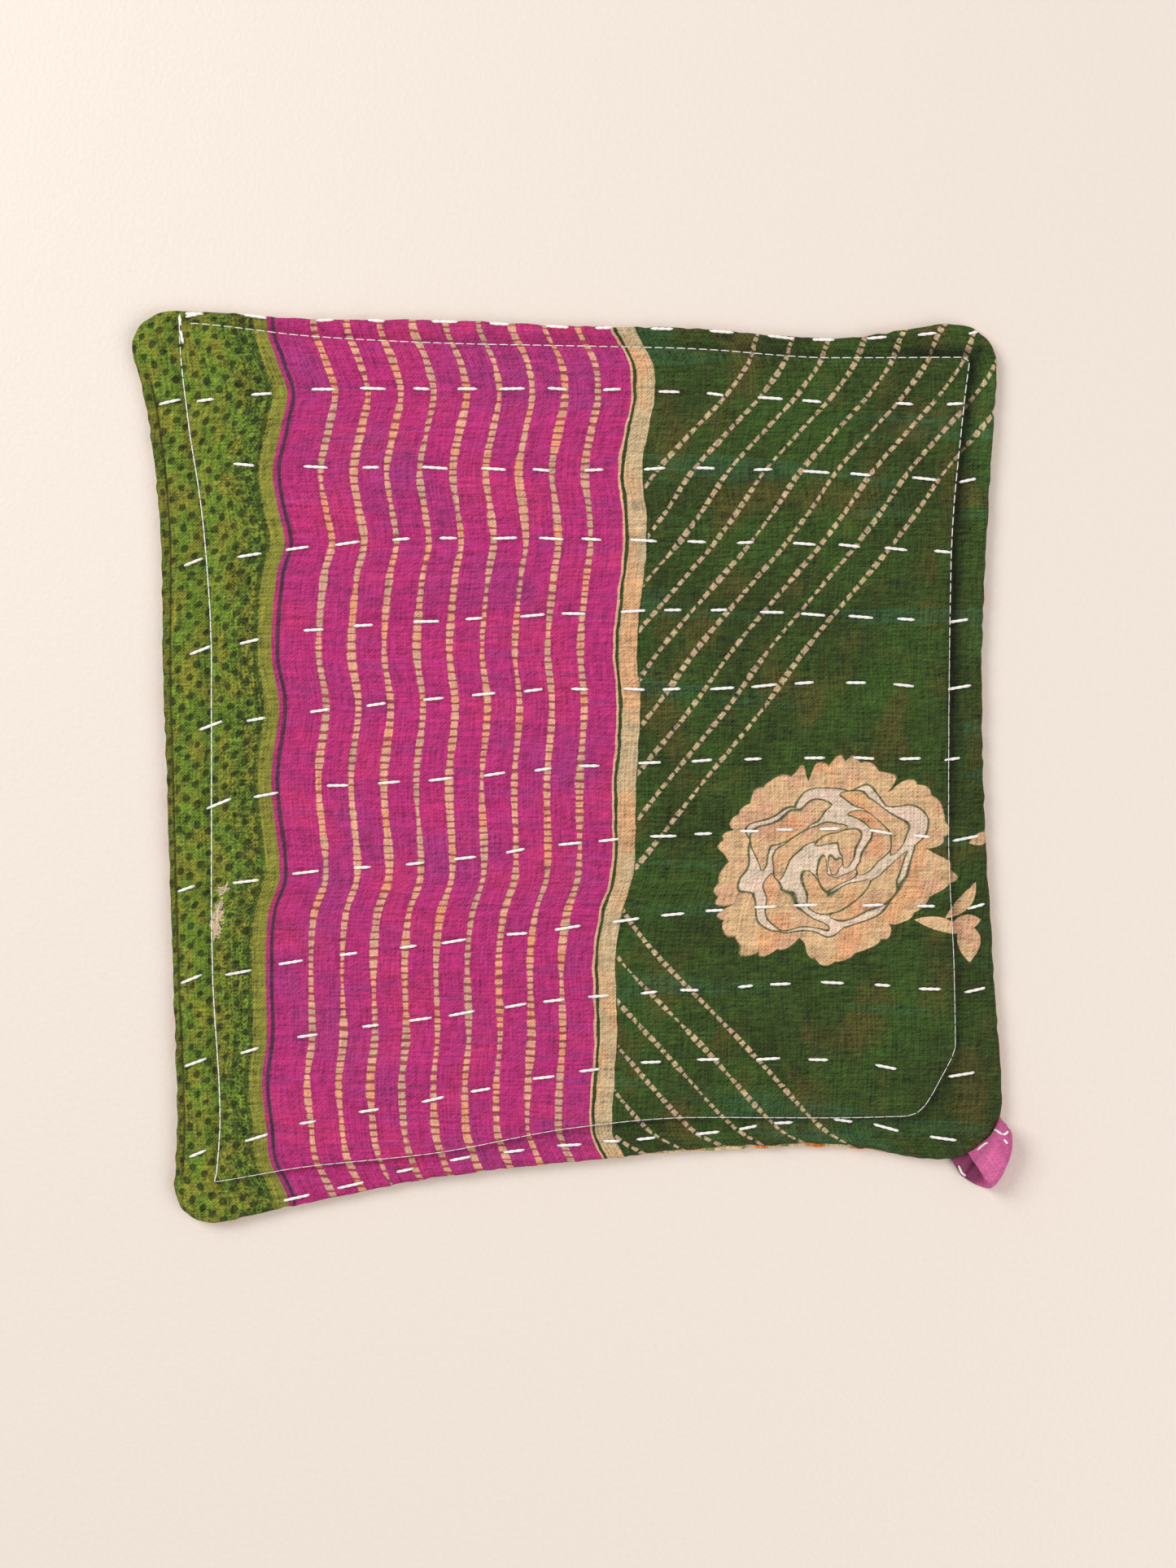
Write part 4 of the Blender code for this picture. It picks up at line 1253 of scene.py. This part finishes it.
# How far each point lies outside the machine seam and inside the left roll's crease.
keep_numbers(front_cloth, "seams", np.clip(outside_seam(flat_x, flat_y), -9, 9),
             np.clip(inside_bead(flat_x, flat_y), -9, 9), flat_x * 0)

back_cloth, back_flat = build_cloth("back_cloth", back_full, -1, 216, 224, back_material())
keep_places(back_cloth, back_flat)
keep_numbers(back_cloth, "cloth", back_flat, np.zeros(len(back_flat)))

corner_loop = build_loop(loop_material())
loop_thread = build_loop_stitches(white_thread)

front_thread = build_hand_stitches("hand_stitches_front", FRONT_STITCHES, front_full, 1, white_thread)
back_thread = build_hand_stitches("hand_stitches_back", BACK_STITCHES, back_full, -1, white_thread)
front_seam = build_machine_seam("machine_seam_front", front_full, 1, white_thread)
back_seam = build_machine_seam("machine_seam_back", back_full, -1, white_thread)

for slot, pieces in (("printed_cotton", (front_cloth, front_thread, front_seam)),
                     ("backing_cotton", (back_cloth, back_thread, back_seam)),
                     ("loop_cotton", (corner_loop, loop_thread))):
    for piece in pieces:
        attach(piece, "root")
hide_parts("front_panel")
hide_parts("back_panel")
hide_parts("hanging_loop")

# ---- floor, light and camera

PICTURE_MIDDLE = (4.7, -3.1)  # the picture's middle on the pad (mm)
PICTURE_HEIGHT = 385.4  # what the picture's long side spans on the table (mm)
CAMERA_HEIGHT = 760
SENSOR = 36
FLOOR_HALF = 2.5


def build_floor():
    material, shader = new_material("pale_table", 0.36)
    grain = noise(object_place(shader), (1.1, 1.1), 3)
    finish_look(shader, dye(241, 231, 223)[:3], (grain - 0.5) * 0.05 + 1, grain, 0.00008)
    mesh = bpy.data.meshes.new("floor")
    corners = ((-1, -1), (1, -1), (1, 1), (-1, 1))
    mesh.from_pydata([(x * FLOOR_HALF, y * FLOOR_HALF, 0) for x, y in corners], [], [(0, 1, 2, 3)])
    mesh.materials.append(material)
    link("floor", mesh)


def add_light(name, place, aim, size, watts, colour):
    lamp = bpy.data.lights.new(name, "AREA")
    lamp.shape = "RECTANGLE"
    lamp.size, lamp.size_y = size
    lamp.energy = watts
    lamp.color = colour
    thing = link(name, lamp)
    thing.location = place
    thing.rotation_euler = (Vector(aim) - Vector(place)).to_track_quat("-Z", "Y").to_euler()


build_floor()
add_light("window", (-0.9, 0.62, 1.05), (0, 0, 0), (0.85, 0.75), 12.7, (1, 0.98, 0.955))
add_light("glare", (-0.52, 0.36, 1.15), (-0.3, 0.2, 0), (0.5, 0.9), 1.2, (1, 1, 1))
add_light("fill", (0.95, -0.5, 1.2), (0, 0, 0), (1.4, 1.2), 11.5, (1, 0.95, 0.9))

view = bpy.data.cameras.new("camera")
view.sensor_width = SENSOR
view.lens = SENSOR * CAMERA_HEIGHT / PICTURE_HEIGHT
camera = link("camera", view)
camera.location = to_world([*PICTURE_MIDDLE, CAMERA_HEIGHT])
bpy.context.scene.camera = camera

world = bpy.data.worlds.new("soft_room")
world.use_nodes = True
world.node_tree.nodes["Background"].inputs["Color"].default_value = (1, 0.96, 0.92, 1)
world.node_tree.nodes["Background"].inputs["Strength"].default_value = 0.35
bpy.context.scene.world = world
bpy.context.scene.view_settings.view_transform = "Standard"
